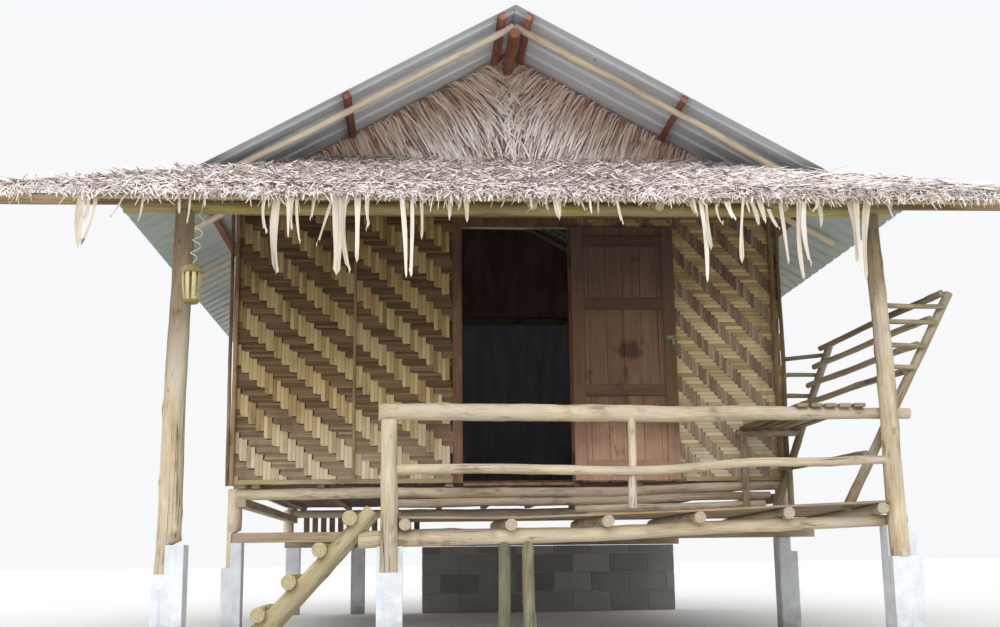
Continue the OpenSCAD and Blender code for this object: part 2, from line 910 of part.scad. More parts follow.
// Lean-to thatch: a sloping slab whose ends widen towards the eave. Behind the verge it
// passes under the purlins of the main roof.
module porch_thatch() {
  c = cos(thatch_pitch);
  y_back = -5;
  y_far = -thatch_reach - 60;
  far_half = thatch_half(y_far);
  wide = 2 * thatch_eave_half;
  slant = (thatch_z(y_back) - thatch_z(y_far)) / sin(thatch_pitch);
  color("rosybrown") placed()
    difference() {
      translate([0, y_back, thatch_z(y_back)]) rotate([thatch_pitch, 0, 0]) linear_extrude(thatch_t)
        polygon([[-thatch_top_half, 60], [-thatch_top_half, (roof_y0 - y_back) / c],
                 [-thatch_low_half, (-thatch_low - y_back) / c],
                 [-far_half, -slant], [far_half, -slant],
                 [thatch_low_half, (-thatch_low - y_back) / c],
                 [thatch_top_half, (roof_y0 - y_back) / c], [thatch_top_half, 60]]);
      // Plumb cuts at the wall and at the eave
      block([-wide, y_back, 0], [wide, 500, 2 * ridge_z]);
      block([-wide, -thatch_reach - 500, 0], [wide, -thatch_reach, 2 * ridge_z]);
      roof_clearance();
      for (sx = [-1, 1])
        rafter(sx, rafter_ys[0], 3);
    }
}

// Everything above the underside of the purlins, behind the verge
module roof_clearance() {
  low = purlin_drop + 4;
  x1 = eave_x + 500;
  translate([0, roof_y0 - 4, 0]) mirror([0, 1, 0]) rotate([90, 0, 0]) linear_extrude(1500)
    polygon([[-x1, sheet_z(x1) - low], [0, ridge_z - low], [x1, sheet_z(x1) - low], [x1, 2 * ridge_z], [-x1, 2 * ridge_z]]);
}

// Deck

module front_beam_log(grow = 0) {
  xa = rail_post_x - 190;
  xb = right_stump_x + 60;
  log_between([xa, beam_y, beam_top(xa) - beam_d(xa) / 2], [xb, beam_y, beam_top(xb) - beam_d(xb) / 2],
              beam_d(xa) + 2 * grow, beam_d(xb) + 2 * grow);
}

module deck_front_beam() {
  color("burlywood") placed() front_beam_log();
}

prop_xs = [-175, -25];
prop_d = 74;
module deck_props() {
  color("tan") placed()
    for (x = prop_xs)
      difference() {
        translate([x, beam_y, 0]) cylinder(h = beam_top(x) - beam_d(x) + 14, d1 = prop_d + 8, d2 = prop_d);
        front_beam_log(fit);
      }
}

module deck_joist(i, grow = 0) {
  log_between([joist_x(i), joist_y0, joist_front_z(i)], [joist_x(i), joist_y1, joist_rear_z],
              deck_joist_d + 2 * grow, deck_joist_d + 2 * grow);
}

module deck_joists() {
  color("tan") placed()
    for (i = [0 : deck_joists_n - 1])
      difference() {
        deck_joist(i);
        front_beam_log(fit);
        front_bearer();
        right_post(fit);
      }
}

slat_y0 = joist_y0 - 2;
slat_pitch = (-20 - slat_w - slat_y0) / (slats_n - 1);
module deck_slat(j) {
  y = slat_y0 + j * slat_pitch;
  zl = joist_z_at(0, y + slat_w / 2) + deck_joist_d / 2 - 1.5;
  zr = joist_z_at(deck_joists_n - 1, y + slat_w / 2) + deck_joist_d / 2 - 1.5;
  l = joist_x(deck_joists_n - 1) - joist_x(0);
  difference() {
    translate([joist_x(0), y, zl]) rotate([0, -atan((zr - zl) / l), 0])
      translate([-38, 0, 0]) cube([l + 72, slat_w, slat_t]);
    for (i = [0 : deck_joists_n - 1])
      deck_joist(i, 0.05);
  }
}

module deck_slats() {
  color("wheat") placed()
    for (j = [0 : slats_n - 1])
      deck_slat(j);
}

// Railing

rail_y0 = stump_front_y + rail_post_d / 2;
top_rail_thin = top_rail_d - top_rail_taper;
rail_y1 = -porch_d - 4 + post_right_d / 2 + top_rail_thin / 2 - 14;
module top_rail_log(grow = 0) {
  log_between([rail_post_x - 65, rail_y0, top_rail_z], [2500, rail_y1, top_rail_z - 12],
              top_rail_d + 2 * grow, top_rail_thin + 2 * grow);
}

module top_rail() {
  color("burlywood") placed()
    difference() {
      top_rail_log();
      right_post(fit);
      bench_slats(0.2);
    }
}

module mid_rail_log(grow = 0) {
  log_between([rail_post_x + rail_post_d / 2 - 8, rail_y0, mid_rail_z],
              [post_right_x - post_right_d / 2 + 6, -porch_d - 4, mid_rail_z + 42],
              mid_rail_d + 2 * grow, mid_rail_d - 6 + 2 * grow);
}

module mid_rail() {
  color("burlywood") placed()
    difference() {
      mid_rail_log();
      rail_post_solid(fit);
      right_post(fit);
    }
}

module rail_post_solid(grow = 0) {
  translate([rail_post_x, stump_front_y + rail_post_d / 2 + 1, ledge_z])
    cylinder(h = rail_post_top - ledge_z, d1 = rail_post_d + 2 * grow, d2 = rail_post_d - 8 + 2 * grow);
}

baluster_x = 645;
baluster_d = 56;
module baluster() {
  z0 = deck_top(baluster_x, -porch_d + 20);
  color("tan") placed()
    difference() {
      translate([baluster_x, -porch_d + 20, z0 - 20]) cylinder(h = top_rail_z - z0 + 20, d = baluster_d);
      top_rail_log(fit);
      mid_rail_log(fit);
      for (j = [0 : 2])
        slat_space(j);
    }
}

// The space under the upper face of a slat, for pieces that stand on the deck
module slat_space(j) {
  y = slat_y0 + j * slat_pitch;
  zl = joist_z_at(0, y + slat_w / 2) + deck_joist_d / 2 - 1.5;
  zr = joist_z_at(deck_joists_n - 1, y + slat_w / 2) + deck_joist_d / 2 - 1.5;
  l = joist_x(deck_joists_n - 1) - joist_x(0);
  translate([joist_x(0), y - 6, zl - 300]) rotate([0, -atan((zr - zl) / l), 0])
    translate([-60, 0, 0]) cube([l + 120, slat_pitch + 2, 300 + slat_t + 0.2]);
}

// Bench: a seat between the top rail and the wall, with a back that leans out over the side

bench_y0 = rail_y1 + top_rail_thin / 2 + bench_post_d / 2 + 0.4;
bench_y1 = -pole_d - bench_post_d / 2 - 4;
bench_foot_xs = [2066, 1942];
bench_leans = [bench_lean_front, bench_lean_rear];
bench_ys = [bench_y0, bench_y1];
bench_top_zs = [2274, 2132];
back_gaps = [back_pole_gap_front, back_pole_gap_rear];

// Top of the deck slats at a place, and foot and reach of each leaning post
function slat_row(y) = floor((y - slat_y0) / slat_pitch);
function slat_mid_y(y) = slat_y0 + slat_row(y) * slat_pitch + slat_w / 2;
function deck_top(x, y) = let (
    ym = slat_mid_y(y),
    zl = joist_z_at(0, ym) + deck_joist_d / 2 - 1.5,
    zr = joist_z_at(deck_joists_n - 1, ym) + deck_joist_d / 2 - 1.5,
    f = (x - joist_x(0)) / (joist_x(deck_joists_n - 1) - joist_x(0)))
  zl + f * (zr - zl) + slat_t;
function bench_foot_z(k) = deck_top(bench_foot_xs[k], bench_ys[k]) - 30;
function bench_len(k) = (bench_top_zs[k] - bench_foot_z(k)) / cos(bench_leans[k]);
function bench_x_at(k, z) = bench_foot_xs[k] + (z - bench_foot_z(k)) * tan(bench_leans[k]);

module bench_post(k, grow = 0) {
  zt = bench_top_zs[k];
  log_between([bench_foot_xs[k], bench_ys[k], bench_foot_z(k)], [bench_x_at(k, zt), bench_ys[k], zt],
              bench_post_d + 2 * grow, bench_post_d - 4 + 2 * grow);
}

module bench_posts() {
  color("tan") placed()
    difference() {
      for (k = [0, 1])
        bench_post(k);
      deck_space();
    }
}

// Back poles lie on the inner side of the leaning posts
function back_pt(k, i) = let (
    s = bench_len(k) - 30 - i * back_gaps[k],
    off = (bench_post_d + back_pole_d) / 2 - 5,
    a = bench_leans[k])
  [bench_foot_xs[k] + s * sin(a) - off * cos(a), bench_ys[k], bench_foot_z(k) + s * cos(a) + off * sin(a)];
low_pole_z = 1195;
function low_pt(k) = [bench_x_at(k, low_pole_z) - (bench_post_d + back_pole_d) / 2 / cos(bench_leans[k]) + 6,
                      bench_ys[k], low_pole_z];

// A pole that runs past both of its posts
module long_pole(a, b, over, d) {
  u = (b - a) / norm(b - a);
  log_between(a - over * u, b + over * u, d, d);
}

module low_pole(grow = 0) {
  long_pole(low_pt(0), low_pt(1), 30, back_pole_d + 2 * grow);
}

module bench_back_poles() {
  color("burlywood") placed()
    difference() {
      union() {
        for (i = [0 : back_poles_n - 1])
          long_pole(back_pt(0, i), back_pt(1, i), 26, back_pole_d);
        low_pole();
      }
      bench_post(0, fit);
      bench_post(1, fit);
    }
}

// Short rails from the porch post and the wall corner to the leaning posts
arm_d = 34;
arm_front_zs = [2175, 2065, 1905, 1765];
arm_rear_zs = [2060, 1912, 1750];
module front_arm(z) {
  x0 = post_x(post_right_x, z) + 8;
  x1 = bench_x_at(0, z);
  log_between([x0, -porch_d - 4 + 48 + arm_d / 2 - 4, z], [x1 + 10, bench_y0 - bench_post_d / 2 - arm_d / 2 + 6, z],
              arm_d, arm_d);
}

module rear_arm(z) {
  log_between([hw + pole_d + 8, bench_y1 + bench_post_d / 2 + arm_d / 2 - 6, z],
              [bench_x_at(1, z) + 24, bench_y1 + bench_post_d / 2 + arm_d / 2 - 6, z], arm_d, arm_d);
}

module corner_poles(sx, grow = 0) {
  for (k = [0, 1])
    translate([sx * (hw + k * pole_d), -pole_d / 2, wall_base_z - 25])
      cylinder(h = wall_h + 45, d = pole_d + 2 * grow);
}

module bench_arm_rails() {
  color("tan") placed()
    difference() {
      union() {
        for (z = arm_front_zs)
          front_arm(z);
        for (z = arm_rear_zs)
          rear_arm(z);
      }
      bench_post(0, fit);
      bench_post(1, fit);
      right_post(fit);
      corner_poles(1, fit);
    }
}

seat_x0 = 1731;
seat_t = 26;
seat_gap = 20;
module bench_slats(grow = 0) {
  for (k = [0 : seat_slats_n - 1]) {
    x = seat_x0 + k * (seat_slat_w + seat_gap);
    block([x - grow, rail_y1 - 90, seat_z - grow], [x + seat_slat_w + grow, bench_y1 + 30, seat_z + seat_t]);
  }
}

module bench_seat() {
  color("tan") placed()
    difference() {
      bench_slats();
      bench_post(0, 0.4);
      bench_post(1, 0.4);
      right_post(0.4);
    }
}

// Rear cross pole under the seat, its inner post, and a stub under the low pole
cross_d = 56;
inner_post_x = 1752;
inner_post_d = 52;
module cross_pole(grow = 0) {
  z = seat_z - cross_d / 2 + 3;
  log_between([inner_post_x - 50, bench_y1, z], [bench_x_at(1, z), bench_y1, z], cross_d + 2 * grow, cross_d + 2 * grow);
}

module bench_supports() {
  stub_y = bench_y1 - 150;
  color("tan") placed() {
    difference() {
      cross_pole();
      bench_post(1, fit);
      bench_slats(0.2);
    }
    difference() {
      translate([inner_post_x, bench_y1, 880]) cylinder(h = seat_z - cross_d + 12 - 880, d = inner_post_d);
      cross_pole(fit);
      deck_space();
    }
    difference() {
      translate([low_pt(1)[0] + 10, stub_y, 880]) cylinder(h = low_pole_z - 880, d = 46);
      low_pole(fit);
      deck_space();
    }
  }
}

// The space taken by the deck up to the upper face of its slats
module deck_space() {
  for (j = [0 : slats_n - 1])
    slat_space(j);
}

// Stair: two leaning logs with round treads seated in notches

stair_rise = 860;
stair_a = atan2(stair_rise, stair_top_x - stair_foot_x);
stair_ys = [beam_y - 30, -960];
stringer_l = stair_rise / sin(stair_a);
function stringer_at(s) = stringer_foot_d + (stringer_d - stringer_foot_d) * s / stringer_l;
function tread_off(s) = (stringer_at(s) + tread_d) / 2 - 26;
tread_gap = (stair_rise - 60) / sin(stair_a) / (treads_n + 0.1);

module stringer(k) {
  u = [cos(stair_a), 0, sin(stair_a)];
  a = [stair_foot_x, stair_ys[k], 0];
  difference() {
    log_between(a - 110 * u, a + stringer_l * u, stringer_at(-110), stringer_d);
    block([stair_foot_x - 300, stair_ys[k] - 200, -300], [stair_foot_x + 300, stair_ys[k] + 200, 0]);
  }
}

module tread(i, grow = 0) {
  s = 150 + (i + 0.35) * tread_gap;
  x = stair_foot_x + s * cos(stair_a) - tread_off(s) * sin(stair_a);
  z = s * sin(stair_a) + tread_off(s) * cos(stair_a);
  log_between([x, stair_ys[0] - 105, z], [x, stair_ys[1] + 105, z], tread_d + 2 * grow, tread_d + 2 * grow);
}

module stair_stringers() {
  color("khaki") placed()
    difference() {
      for (k = [0, 1])
        stringer(k);
      for (i = [0 : treads_n - 1])
        tread(i, fit);
      front_beam_log(fit);
    }
}

module stair_treads() {
  color("khaki") placed()
    for (i = [0 : treads_n - 1])
      tread(i);
}

// Lantern: a cage of split bamboo under a solid cap, hung from a lath

lantern_x = -2123;
lantern_lath = 1;
lantern_top = 2382;
lantern_slats_n = 12;
module lantern() {
  y = lath_ys[lantern_lath];
  wire_top = thatch_z(y) - lath_d / cos(thatch_pitch) + 1;
  cap_h = 56;
  cage_h = lantern_h - cap_h - 30;
  color("wheat") placed()
    translate([lantern_x, y, lantern_top]) {
      translate([0, 0, -1]) cylinder(h = wire_top - lantern_top + 1, d = 5);
      translate([0, 0, -cap_h]) cylinder(h = cap_h, d1 = lantern_d, d2 = lantern_d - 24);
      translate([0, 0, -cap_h - cage_h])
        for (i = [0 : lantern_slats_n - 1])
          rotate([0, 0, i * 360 / lantern_slats_n])
            translate([lantern_d / 2 - 16, -6, 0]) cube([6, 12, cage_h + 2]);
      translate([0, 0, -cap_h - cage_h - 12]) cylinder(h = 12, d = lantern_d - 20);
      translate([0, 0, -cap_h - cage_h - 34]) cylinder(h = 30, d = 34);
    }
}

// Door: hung on the right-hand post, shown folded back flat against the wall

hinge_x = door_x1;
hinge_y = -16;
leaf_side = 14;
leaf_z0 = wall_base_z + door_gap;
leaf_z1 = door_top_z - door_gap;
ledge_t = 20;
stile_w = 92;
ledge_zs = [leaf_z0 + 70, leaf_z0 + 640, leaf_z0 + 1310, leaf_z1 - 160];
ledge_w = 84;
strap_zs = [leaf_z0 + 180, leaf_z1 - 260];
strap_h = 34;
strap_t = 4;
strap_l = 340;
pin_d = 9.4;
eye_d = 20;
pin_fit = 0.3;

// Framed leaf: boards with stiles and ledges on the face that shows while it stands open
module door_leaf() {
  x0 = hinge_x + leaf_side;
  x1 = x0 + leaf_w;
  y1 = hinge_y;
  y0 = hinge_y - leaf_t;
  color("sienna") placed()
    union() {
      block([x0, y0, leaf_z0], [x1, y1, leaf_z1]);
      for (x = [x0, x1 - stile_w])
        block([x, y0 - ledge_t, leaf_z0], [x + stile_w, y0 + 1, leaf_z1]);
      for (z = ledge_zs)
        block([x0 + stile_w - 1, y0 - ledge_t, z], [x1 - stile_w + 1, y0 + 1, z + ledge_w]);
    }
}

// Iron straps with an eye that turns on the pintle
module door_straps() {
  color("dimgrey") placed()
    for (z = strap_zs)
      difference() {
        union() {
          translate([hinge_x, hinge_y, z]) cylinder(h = strap_h, d = eye_d);
          block([hinge_x, hinge_y, z], [hinge_x + strap_l, hinge_y + strap_t, z + strap_h]);
        }
        translate([hinge_x, hinge_y, z - eps]) cylinder(h = strap_h + 2 * eps, d = pin_d + 2 * pin_fit);
      }
}

// Pintles: a plate on the door post, an arm and an upright pin
module door_pintles() {
  color("dimgrey") placed()
    for (z = strap_zs)
      union() {
        block([hinge_x, -3, z - 60], [hinge_x + 40, 0, z + 10]);
        block([hinge_x - 6, hinge_y - 6, z - 26], [hinge_x + 6, -2, z - 1]);
        translate([hinge_x, hinge_y, z - 26]) cylinder(h = strap_h + 32, d = pin_d);
      }
}

// Hasp with a hanging padlock near the free edge
hasp_z = 2190;
module door_hasp() {
  x1 = hinge_x + leaf_side + leaf_w - 8;
  y = hinge_y - leaf_t - ledge_t;
  color("darkolivegreen") placed()
    union() {
      block([x1 - 66, y - 3, hasp_z], [x1, y, hasp_z + 30]);
      block([x1 - 26, y - 15, hasp_z - 44], [x1 - 2, y - 1, hasp_z + 6]);
    }
}

porch_footings();
house_footings();
rear_block_wall();
bearers();
floor_posts();
side_beams();
sill_logs();
floor_joists();
floor_boards();
rear_skirt();
corner_posts();
front_wall_left();
front_wall_right();
door_header();
left_wall();
right_wall();
rear_wall();
wall_battens();
door_frame();
wall_plates();
rafters();
ridge_pole();
purlins();
roof_sheet_left();
roof_sheet_right();
ridge_cap();
gable_thatch_front();
gable_thatch_rear();
porch_posts();
rail_post();
porch_eave_beam();
porch_rafters();
porch_laths();
porch_thatch();
deck_front_beam();
deck_props();
deck_joists();
deck_slats();
top_rail();
mid_rail();
baluster();
bench_posts();
bench_back_poles();
bench_arm_rails();
bench_seat();
bench_supports();
stair_stringers();
stair_treads();
lantern();
door_pintles();
door_leaf();
door_straps();
door_hasp();
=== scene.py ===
"""Dresses the stilt house: peeled logs, woven walls, palm thatch, ribbed sheets, door and lantern."""
import math

import bmesh
import bpy
import numpy as np
from mathutils import Matrix, Vector


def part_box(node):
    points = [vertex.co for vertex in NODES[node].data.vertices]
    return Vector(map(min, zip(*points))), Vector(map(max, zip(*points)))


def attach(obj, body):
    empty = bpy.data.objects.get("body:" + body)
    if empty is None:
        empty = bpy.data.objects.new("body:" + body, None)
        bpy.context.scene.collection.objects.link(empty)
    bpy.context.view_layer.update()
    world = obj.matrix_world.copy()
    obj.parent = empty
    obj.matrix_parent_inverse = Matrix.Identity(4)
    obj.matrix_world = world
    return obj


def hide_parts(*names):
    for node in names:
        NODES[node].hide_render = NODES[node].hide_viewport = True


bl_info = {
    "name": "Stilt House Dressing",
    "version": (1, 0, 0),
    "blender": (4, 5, 0),
    "location": "View3D > Sidebar > Stilt House",
    "description": "Logs, woven walls, palm thatch, sheet roof, door and lantern of a stilt house",
    "category": "Object",
}

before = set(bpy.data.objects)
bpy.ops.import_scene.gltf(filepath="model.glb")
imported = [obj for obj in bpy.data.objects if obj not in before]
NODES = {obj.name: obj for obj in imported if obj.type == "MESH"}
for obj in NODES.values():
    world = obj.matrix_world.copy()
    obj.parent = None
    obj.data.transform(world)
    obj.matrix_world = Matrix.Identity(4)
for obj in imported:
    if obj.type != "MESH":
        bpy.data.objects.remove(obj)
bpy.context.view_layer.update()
# Outer face of the front wall, slopes of the two roofs, and where the sheets would meet
WALL_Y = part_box("front_wall_left")[0].y
ROOF_PITCH = math.radians(29)
THATCH_PITCH = math.radians(22)
RIDGE_Z = 4.53


def at(x, y, z):
    """A point given in millimetres from the outer face of the front wall."""
    return np.array((x / 1000, y / 1000 + WALL_Y, z / 1000))


def tint(r, g, b):
    """A screen colour from 0 to 255 as the linear colour that a shader takes."""
    def linear(c):
        c /= 255
        return c / 12.92 if c <= 0.04045 else ((c + 0.055) / 1.055) ** 2.4
    return (linear(r), linear(g), linear(b))


def dim(colour, share):
    return tuple(part * share for part in colour)


# Node trees written as plain arithmetic

class Wire:
    """A node socket that takes part in arithmetic."""

    def __init__(self, tree, socket):
        self.tree, self.socket = tree, socket

    def math(self, operation, *others):
        node = self.tree.nodes.new("ShaderNodeMath")
        node.operation = operation
        for place, value in enumerate((self, *others)):
            feed(self.tree, node.inputs[place], value)
        return Wire(self.tree, node.outputs[0])

    def __add__(self, other): return self.math("ADD", other)
    def __sub__(self, other): return self.math("SUBTRACT", other)
    def __mul__(self, other): return self.math("MULTIPLY", other)
    def __truediv__(self, other): return self.math("DIVIDE", other)
    def __mod__(self, other): return self.math("FLOORED_MODULO", other)
    def floor(self): return self.math("FLOOR")
    def low(self, other): return self.math("MINIMUM", other)
    def high(self, other): return self.math("MAXIMUM", other)
    def power(self, other): return self.math("POWER", other)
    def size(self): return self.math("ABSOLUTE")
    def over(self, other): return self.math("GREATER_THAN", other)

    def between(self, low, high, start=0.0, end=1.0):
        """The value brought from low..high to start..end, smoothly and without going past."""
        node = add(self.tree, "ShaderNodeMapRange", {
            "Value": self, "From Min": low, "From Max": high, "To Min": start, "To Max": end},
            interpolation_type="SMOOTHSTEP")
        return Wire(self.tree, node.outputs["Result"])


def feed(tree, socket, value):
    """Links a socket or sets its value."""
    if isinstance(value, Wire):
        value = value.socket
    if isinstance(value, bpy.types.NodeSocket):
        tree.links.new(value, socket)
    elif socket.type == "RGBA" and len(value) == 3:
        socket.default_value = (*value, 1.0)
    else:
        socket.default_value = value


def add(tree, kind, sockets=None, **props):
    """Adds a node with its properties, then feeds its named sockets."""
    node = tree.nodes.new(kind)
    for name, value in props.items():
        setattr(node, name, value)
    for name, value in (sockets or {}).items():
        found = [s for s in node.inputs if s.name == name and s.enabled]
        feed(tree, found[0] if found else node.inputs[name], value)
    return node


# Materials

class Finish:
    """A procedural material, built up on one Principled shader."""

    def __init__(self, name):
        self.material = bpy.data.materials.new(name)
        self.material.use_nodes = True
        self.tree = self.material.node_tree
        self.shader = self.tree.nodes["Principled BSDF"]

    def wire(self, kind, output, sockets=None, **props):
        """An output of a new node."""
        return Wire(self.tree, add(self.tree, kind, sockets, **props).outputs[output])

    def grain(self, scale=(1, 1, 1)):
        """The place along the grain of the piece, stretched."""
        grain = self.wire("ShaderNodeAttribute", "Vector", attribute_name="grain")
        return self.wire("ShaderNodeMapping", "Vector", {"Vector": grain, "Scale": scale})

    def spot(self, scale=(1, 1, 1)):
        """The place in the house, stretched."""
        place = self.wire("ShaderNodeTexCoord", "Object")
        return self.wire("ShaderNodeMapping", "Vector", {"Vector": place, "Scale": scale})

    def value(self, name):
        """A value that the points of the piece carry."""
        return self.wire("ShaderNodeAttribute", "Fac", attribute_name=name)

    def noise(self, vector, scale, detail=4.0, rough=0.6, warp=0.0):
        return self.wire("ShaderNodeTexNoise", "Fac", {
            "Vector": vector, "Scale": scale, "Detail": detail, "Roughness": rough, "Distortion": warp})

    def cells(self, vector, scale, feature="DISTANCE_TO_EDGE", spread=1.0):
        return self.wire("ShaderNodeTexVoronoi", "Distance", {
            "Vector": vector, "Scale": scale, "Randomness": spread}, feature=feature)

    def ramp(self, factor, *stops):
        """Colours that run into each other; a stop is a place and a colour."""
        node = add(self.tree, "ShaderNodeValToRGB", {"Fac": factor})
        ends = node.color_ramp.elements
        while len(ends) < len(stops):
            ends.new(0.5)
        for end, (place, colour) in zip(ends, stops):
            end.position, end.color = place, (*colour, 1.0)
        return node.outputs["Color"]

    def mix(self, factor, under, over, how="MIX"):
        """One colour over another."""
        node = self.tree.nodes.new("ShaderNodeMix")
        node.data_type, node.blend_type = "RGBA", how
        feed(self.tree, node.inputs[0], factor)
        feed(self.tree, node.inputs[6], under)
        feed(self.tree, node.inputs[7], over)
        return node.outputs[2]

    def part(self, vector, axis):
        """X, Y or Z of a place."""
        node = add(self.tree, "ShaderNodeSeparateXYZ", {"Vector": vector})
        return Wire(self.tree, node.outputs[axis])

    def done(self, colour, rough, height=None, depth=0.002, strength=0.6, metal=0.0, specular=0.3):
        feed(self.tree, self.shader.inputs["Base Color"], colour)
        feed(self.tree, self.shader.inputs["Roughness"], rough)
        self.shader.inputs["Metallic"].default_value = metal
        self.shader.inputs["Specular IOR Level"].default_value = specular
        if height is not None:
            bump = add(self.tree, "ShaderNodeBump", {
                "Height": height, "Distance": depth, "Strength": strength})
            feed(self.tree, self.shader.inputs["Normal"], bump.outputs["Normal"])
        return self.material


# Painted shade: what the shade under a roof leaves of a colour
PAINTED_ROOF_SHADE = (0.50, 0.47, 0.42)


def wood(name, dark, mid, pale, grey=None, stretch=0.05, fibre=140.0, rings=True, rough=0.78,
         bump=0.5, checks=0.5, greying=0.45, shade=None, flecks=0.0):
    """Wood whose fibres run along the grain's Z, with knots, checks and ringed ends. Where shade is given,
    the wood gets painted shade of a roof between those two heights, setting in 0.45 m lower at the far left."""
    f = Finish(name)
    fine = f.noise(f.grain((1, 1, stretch)), fibre, 5.0, 0.65)
    broad = f.noise(f.grain((1, 1, 0.22)), 9.0, 3.0, 0.55, 0.3)
    tone = f.value("tone")
    level = fine * 0.45 + broad * 0.55 + (tone - 0.5) * 0.28
    colour = f.ramp(level, (0.30, dark), (0.50, mid), (0.68, pale))
    if grey:
        worn = f.noise(f.grain((1, 1, 0.3)), 4.0, 4.0, 0.6, 0.5).between(0.42, 0.62)
        colour = f.mix(worn * greying, colour, grey)
    crack = (f.noise(f.grain((1, 1, 0.018)), 26.0, 2.0, 0.5) - 0.5).size().between(0.0, 0.022, 1.0, 0.0)
    where = f.noise(f.grain((1, 1, 0.3)), 3.1, 2.0).between(0.5, 0.6)
    crack = crack * where * checks
    # Checks are drawn near black: painted shade inside the cracks
    colour = f.mix(crack, colour, dim(dark, 0.25))
    knot = f.value("knot")
    colour = f.mix(knot * 0.75, colour, dim(dark, 0.55))
    height = fine * 0.35 + broad * 0.3 - crack * 0.8
    if flecks:
        bark = f.noise(f.grain((1, 1, 0.22)), 17.0, 6.0, 0.75).between(0.55, 0.66)
        colour = f.mix(bark * flecks, colour, dim(dark, 0.6))
        height = height + bark * 0.3
    if shade:
        # Painted shade of a roof above the given heights, setting in 0.45 m lower at the far left
        place = f.spot()
        painted_shade_lower_left = f.part(place, "X").between(-2.3, -2.0, 0.45, 0.0)
        colour = f.mix((f.part(place, "Z") + painted_shade_lower_left).between(*shade), colour, PAINTED_ROOF_SHADE, "MULTIPLY")
    if rings:
        grain = f.grain()
        far = f.part(grain, "X").power(2.0) + f.part(grain, "Y").power(2.0)
        ring = ((far.power(0.5) + f.noise(grain, 14.0, 2.0) * 0.012) * 1100.0).math("SINE") * 0.5 + 0.5
        # Splits in the sawn ends are drawn dark too: painted shade inside them
        split = f.cells(f.grain((1, 1, 0.0)), 24.0).between(0.0, 0.03, 0.75, 0.0)
        face = f.mix(ring * 0.7, dim(pale, 0.72), dim(mid, 0.60))
        face = f.mix(split, face, dim(dark, 0.3))
        colour = f.mix(f.value("cut"), colour, face)
    return f.done(colour, fine * 0.12 + (rough - 0.06), height, 0.003, bump)


# Meshes

def smooth_noise(rng, count, waves=5):
    """Sine waves that never repeat quickly, as a function of a distance in metres."""
    size = rng.uniform(0.3, 1.0, count) / np.arange(1, count + 1) ** 0.5
    pace = rng.uniform(0.6, 1.4, count) * np.arange(1, count + 1) * waves
    shift = rng.uniform(0, 2 * math.pi, count)
    return lambda s: (size * np.sin(np.multiply.outer(s, pace) + shift)).sum(-1) / size.sum()


def keep(mesh, name, values):
    """Stores a value for each point of a mesh: one number, or three."""
    values = np.asarray(values, np.float32)
    kind, part = ("FLOAT_VECTOR", "vector") if values.ndim == 2 else ("FLOAT", "value")
    mesh.attributes.new(name, kind, "POINT").data.foreach_set(part, values.ravel())


def points_of(mesh):
    """The places of a mesh's points, as rows of three."""
    points = np.zeros(len(mesh.vertices) * 3, np.float32)
    mesh.vertices.foreach_get("co", points)
    return points.reshape(-1, 3)


def move(mesh, points):
    """Gives the points of a mesh new places."""
    mesh.vertices.foreach_set("co", points.astype(np.float32).ravel())
    mesh.update()


def placed(name, data):
    """A new object in the scene."""
    piece = bpy.data.objects.new(name, data)
    bpy.context.scene.collection.objects.link(piece)
    return piece


def skin(rows, sides):
    """Faces between rings of points that follow each other."""
    return [(i + j, i + (j + 1) % sides, i + sides + (j + 1) % sides, i + sides + j)
            for i in range(0, (rows - 1) * sides, sides) for j in range(sides)]


def lids(rows, sides):
    """The faces that close the first and the last of these rings."""
    return [tuple(range(sides))[::-1], tuple((rows - 1) * sides + j for j in range(sides))]


class Solid:
    """Gathers the parts of one piece: points, faces, grain and tone."""

    def __init__(self):
        self.points, self.faces, self.slots, self.smooth = [], [], [], []
        self.values = {"grain": [], "tone": [], "knot": [], "cut": []}
        self.count = 0

    def put(self, points, faces, grain=None, tone=0.5, knot=0.0, cut=0.0, slot=0, smooth=True):
        points = np.asarray(points, float).reshape(-1, 3)
        n = len(points)
        self.points.append(points)
        self.faces += [tuple(int(i) + self.count for i in f) for f in faces]
        self.slots += [slot] * len(faces)
        self.smooth += [smooth] * len(faces)
        self.values["grain"].append(points if grain is None else np.asarray(grain, float))
        for name, value in (("tone", tone), ("knot", knot), ("cut", cut)):
            self.values[name].append(np.broadcast_to(np.asarray(value, float), (n,)))
        self.count += n

    def piece(self, name, materials, slot, replaces=(), body="house"):
        """Makes the object, lets it ride on its body, and hides the CAD parts it replaces."""
        mesh = bpy.data.meshes.new(name)
        mesh.from_pydata(np.concatenate(self.points).tolist(), [], self.faces)
        for key, rows in self.values.items():
            keep(mesh, key, np.concatenate(rows))
        for material in materials:
            mesh.materials.append(material)
        mesh.polygons.foreach_set("material_index", self.slots)
        mesh.polygons.foreach_set("use_smooth", self.smooth)
        mesh.validate()
        mesh.update()
        return settle(placed(name, mesh), slot, replaces, body)


def settle(piece, slot, replaces=(), body="house"):
    """Hands a finished piece to the frame."""
    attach(piece, body)
    if replaces:
        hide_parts(*replaces)
    return piece


# The grain of each piece starts somewhere within so many metres
GRAIN_SHIFT = 50
# The flat part of a sawn end and how far it stands out, as shares of the log's radius
END_FACE, END_RISE = 0.93, 0.05


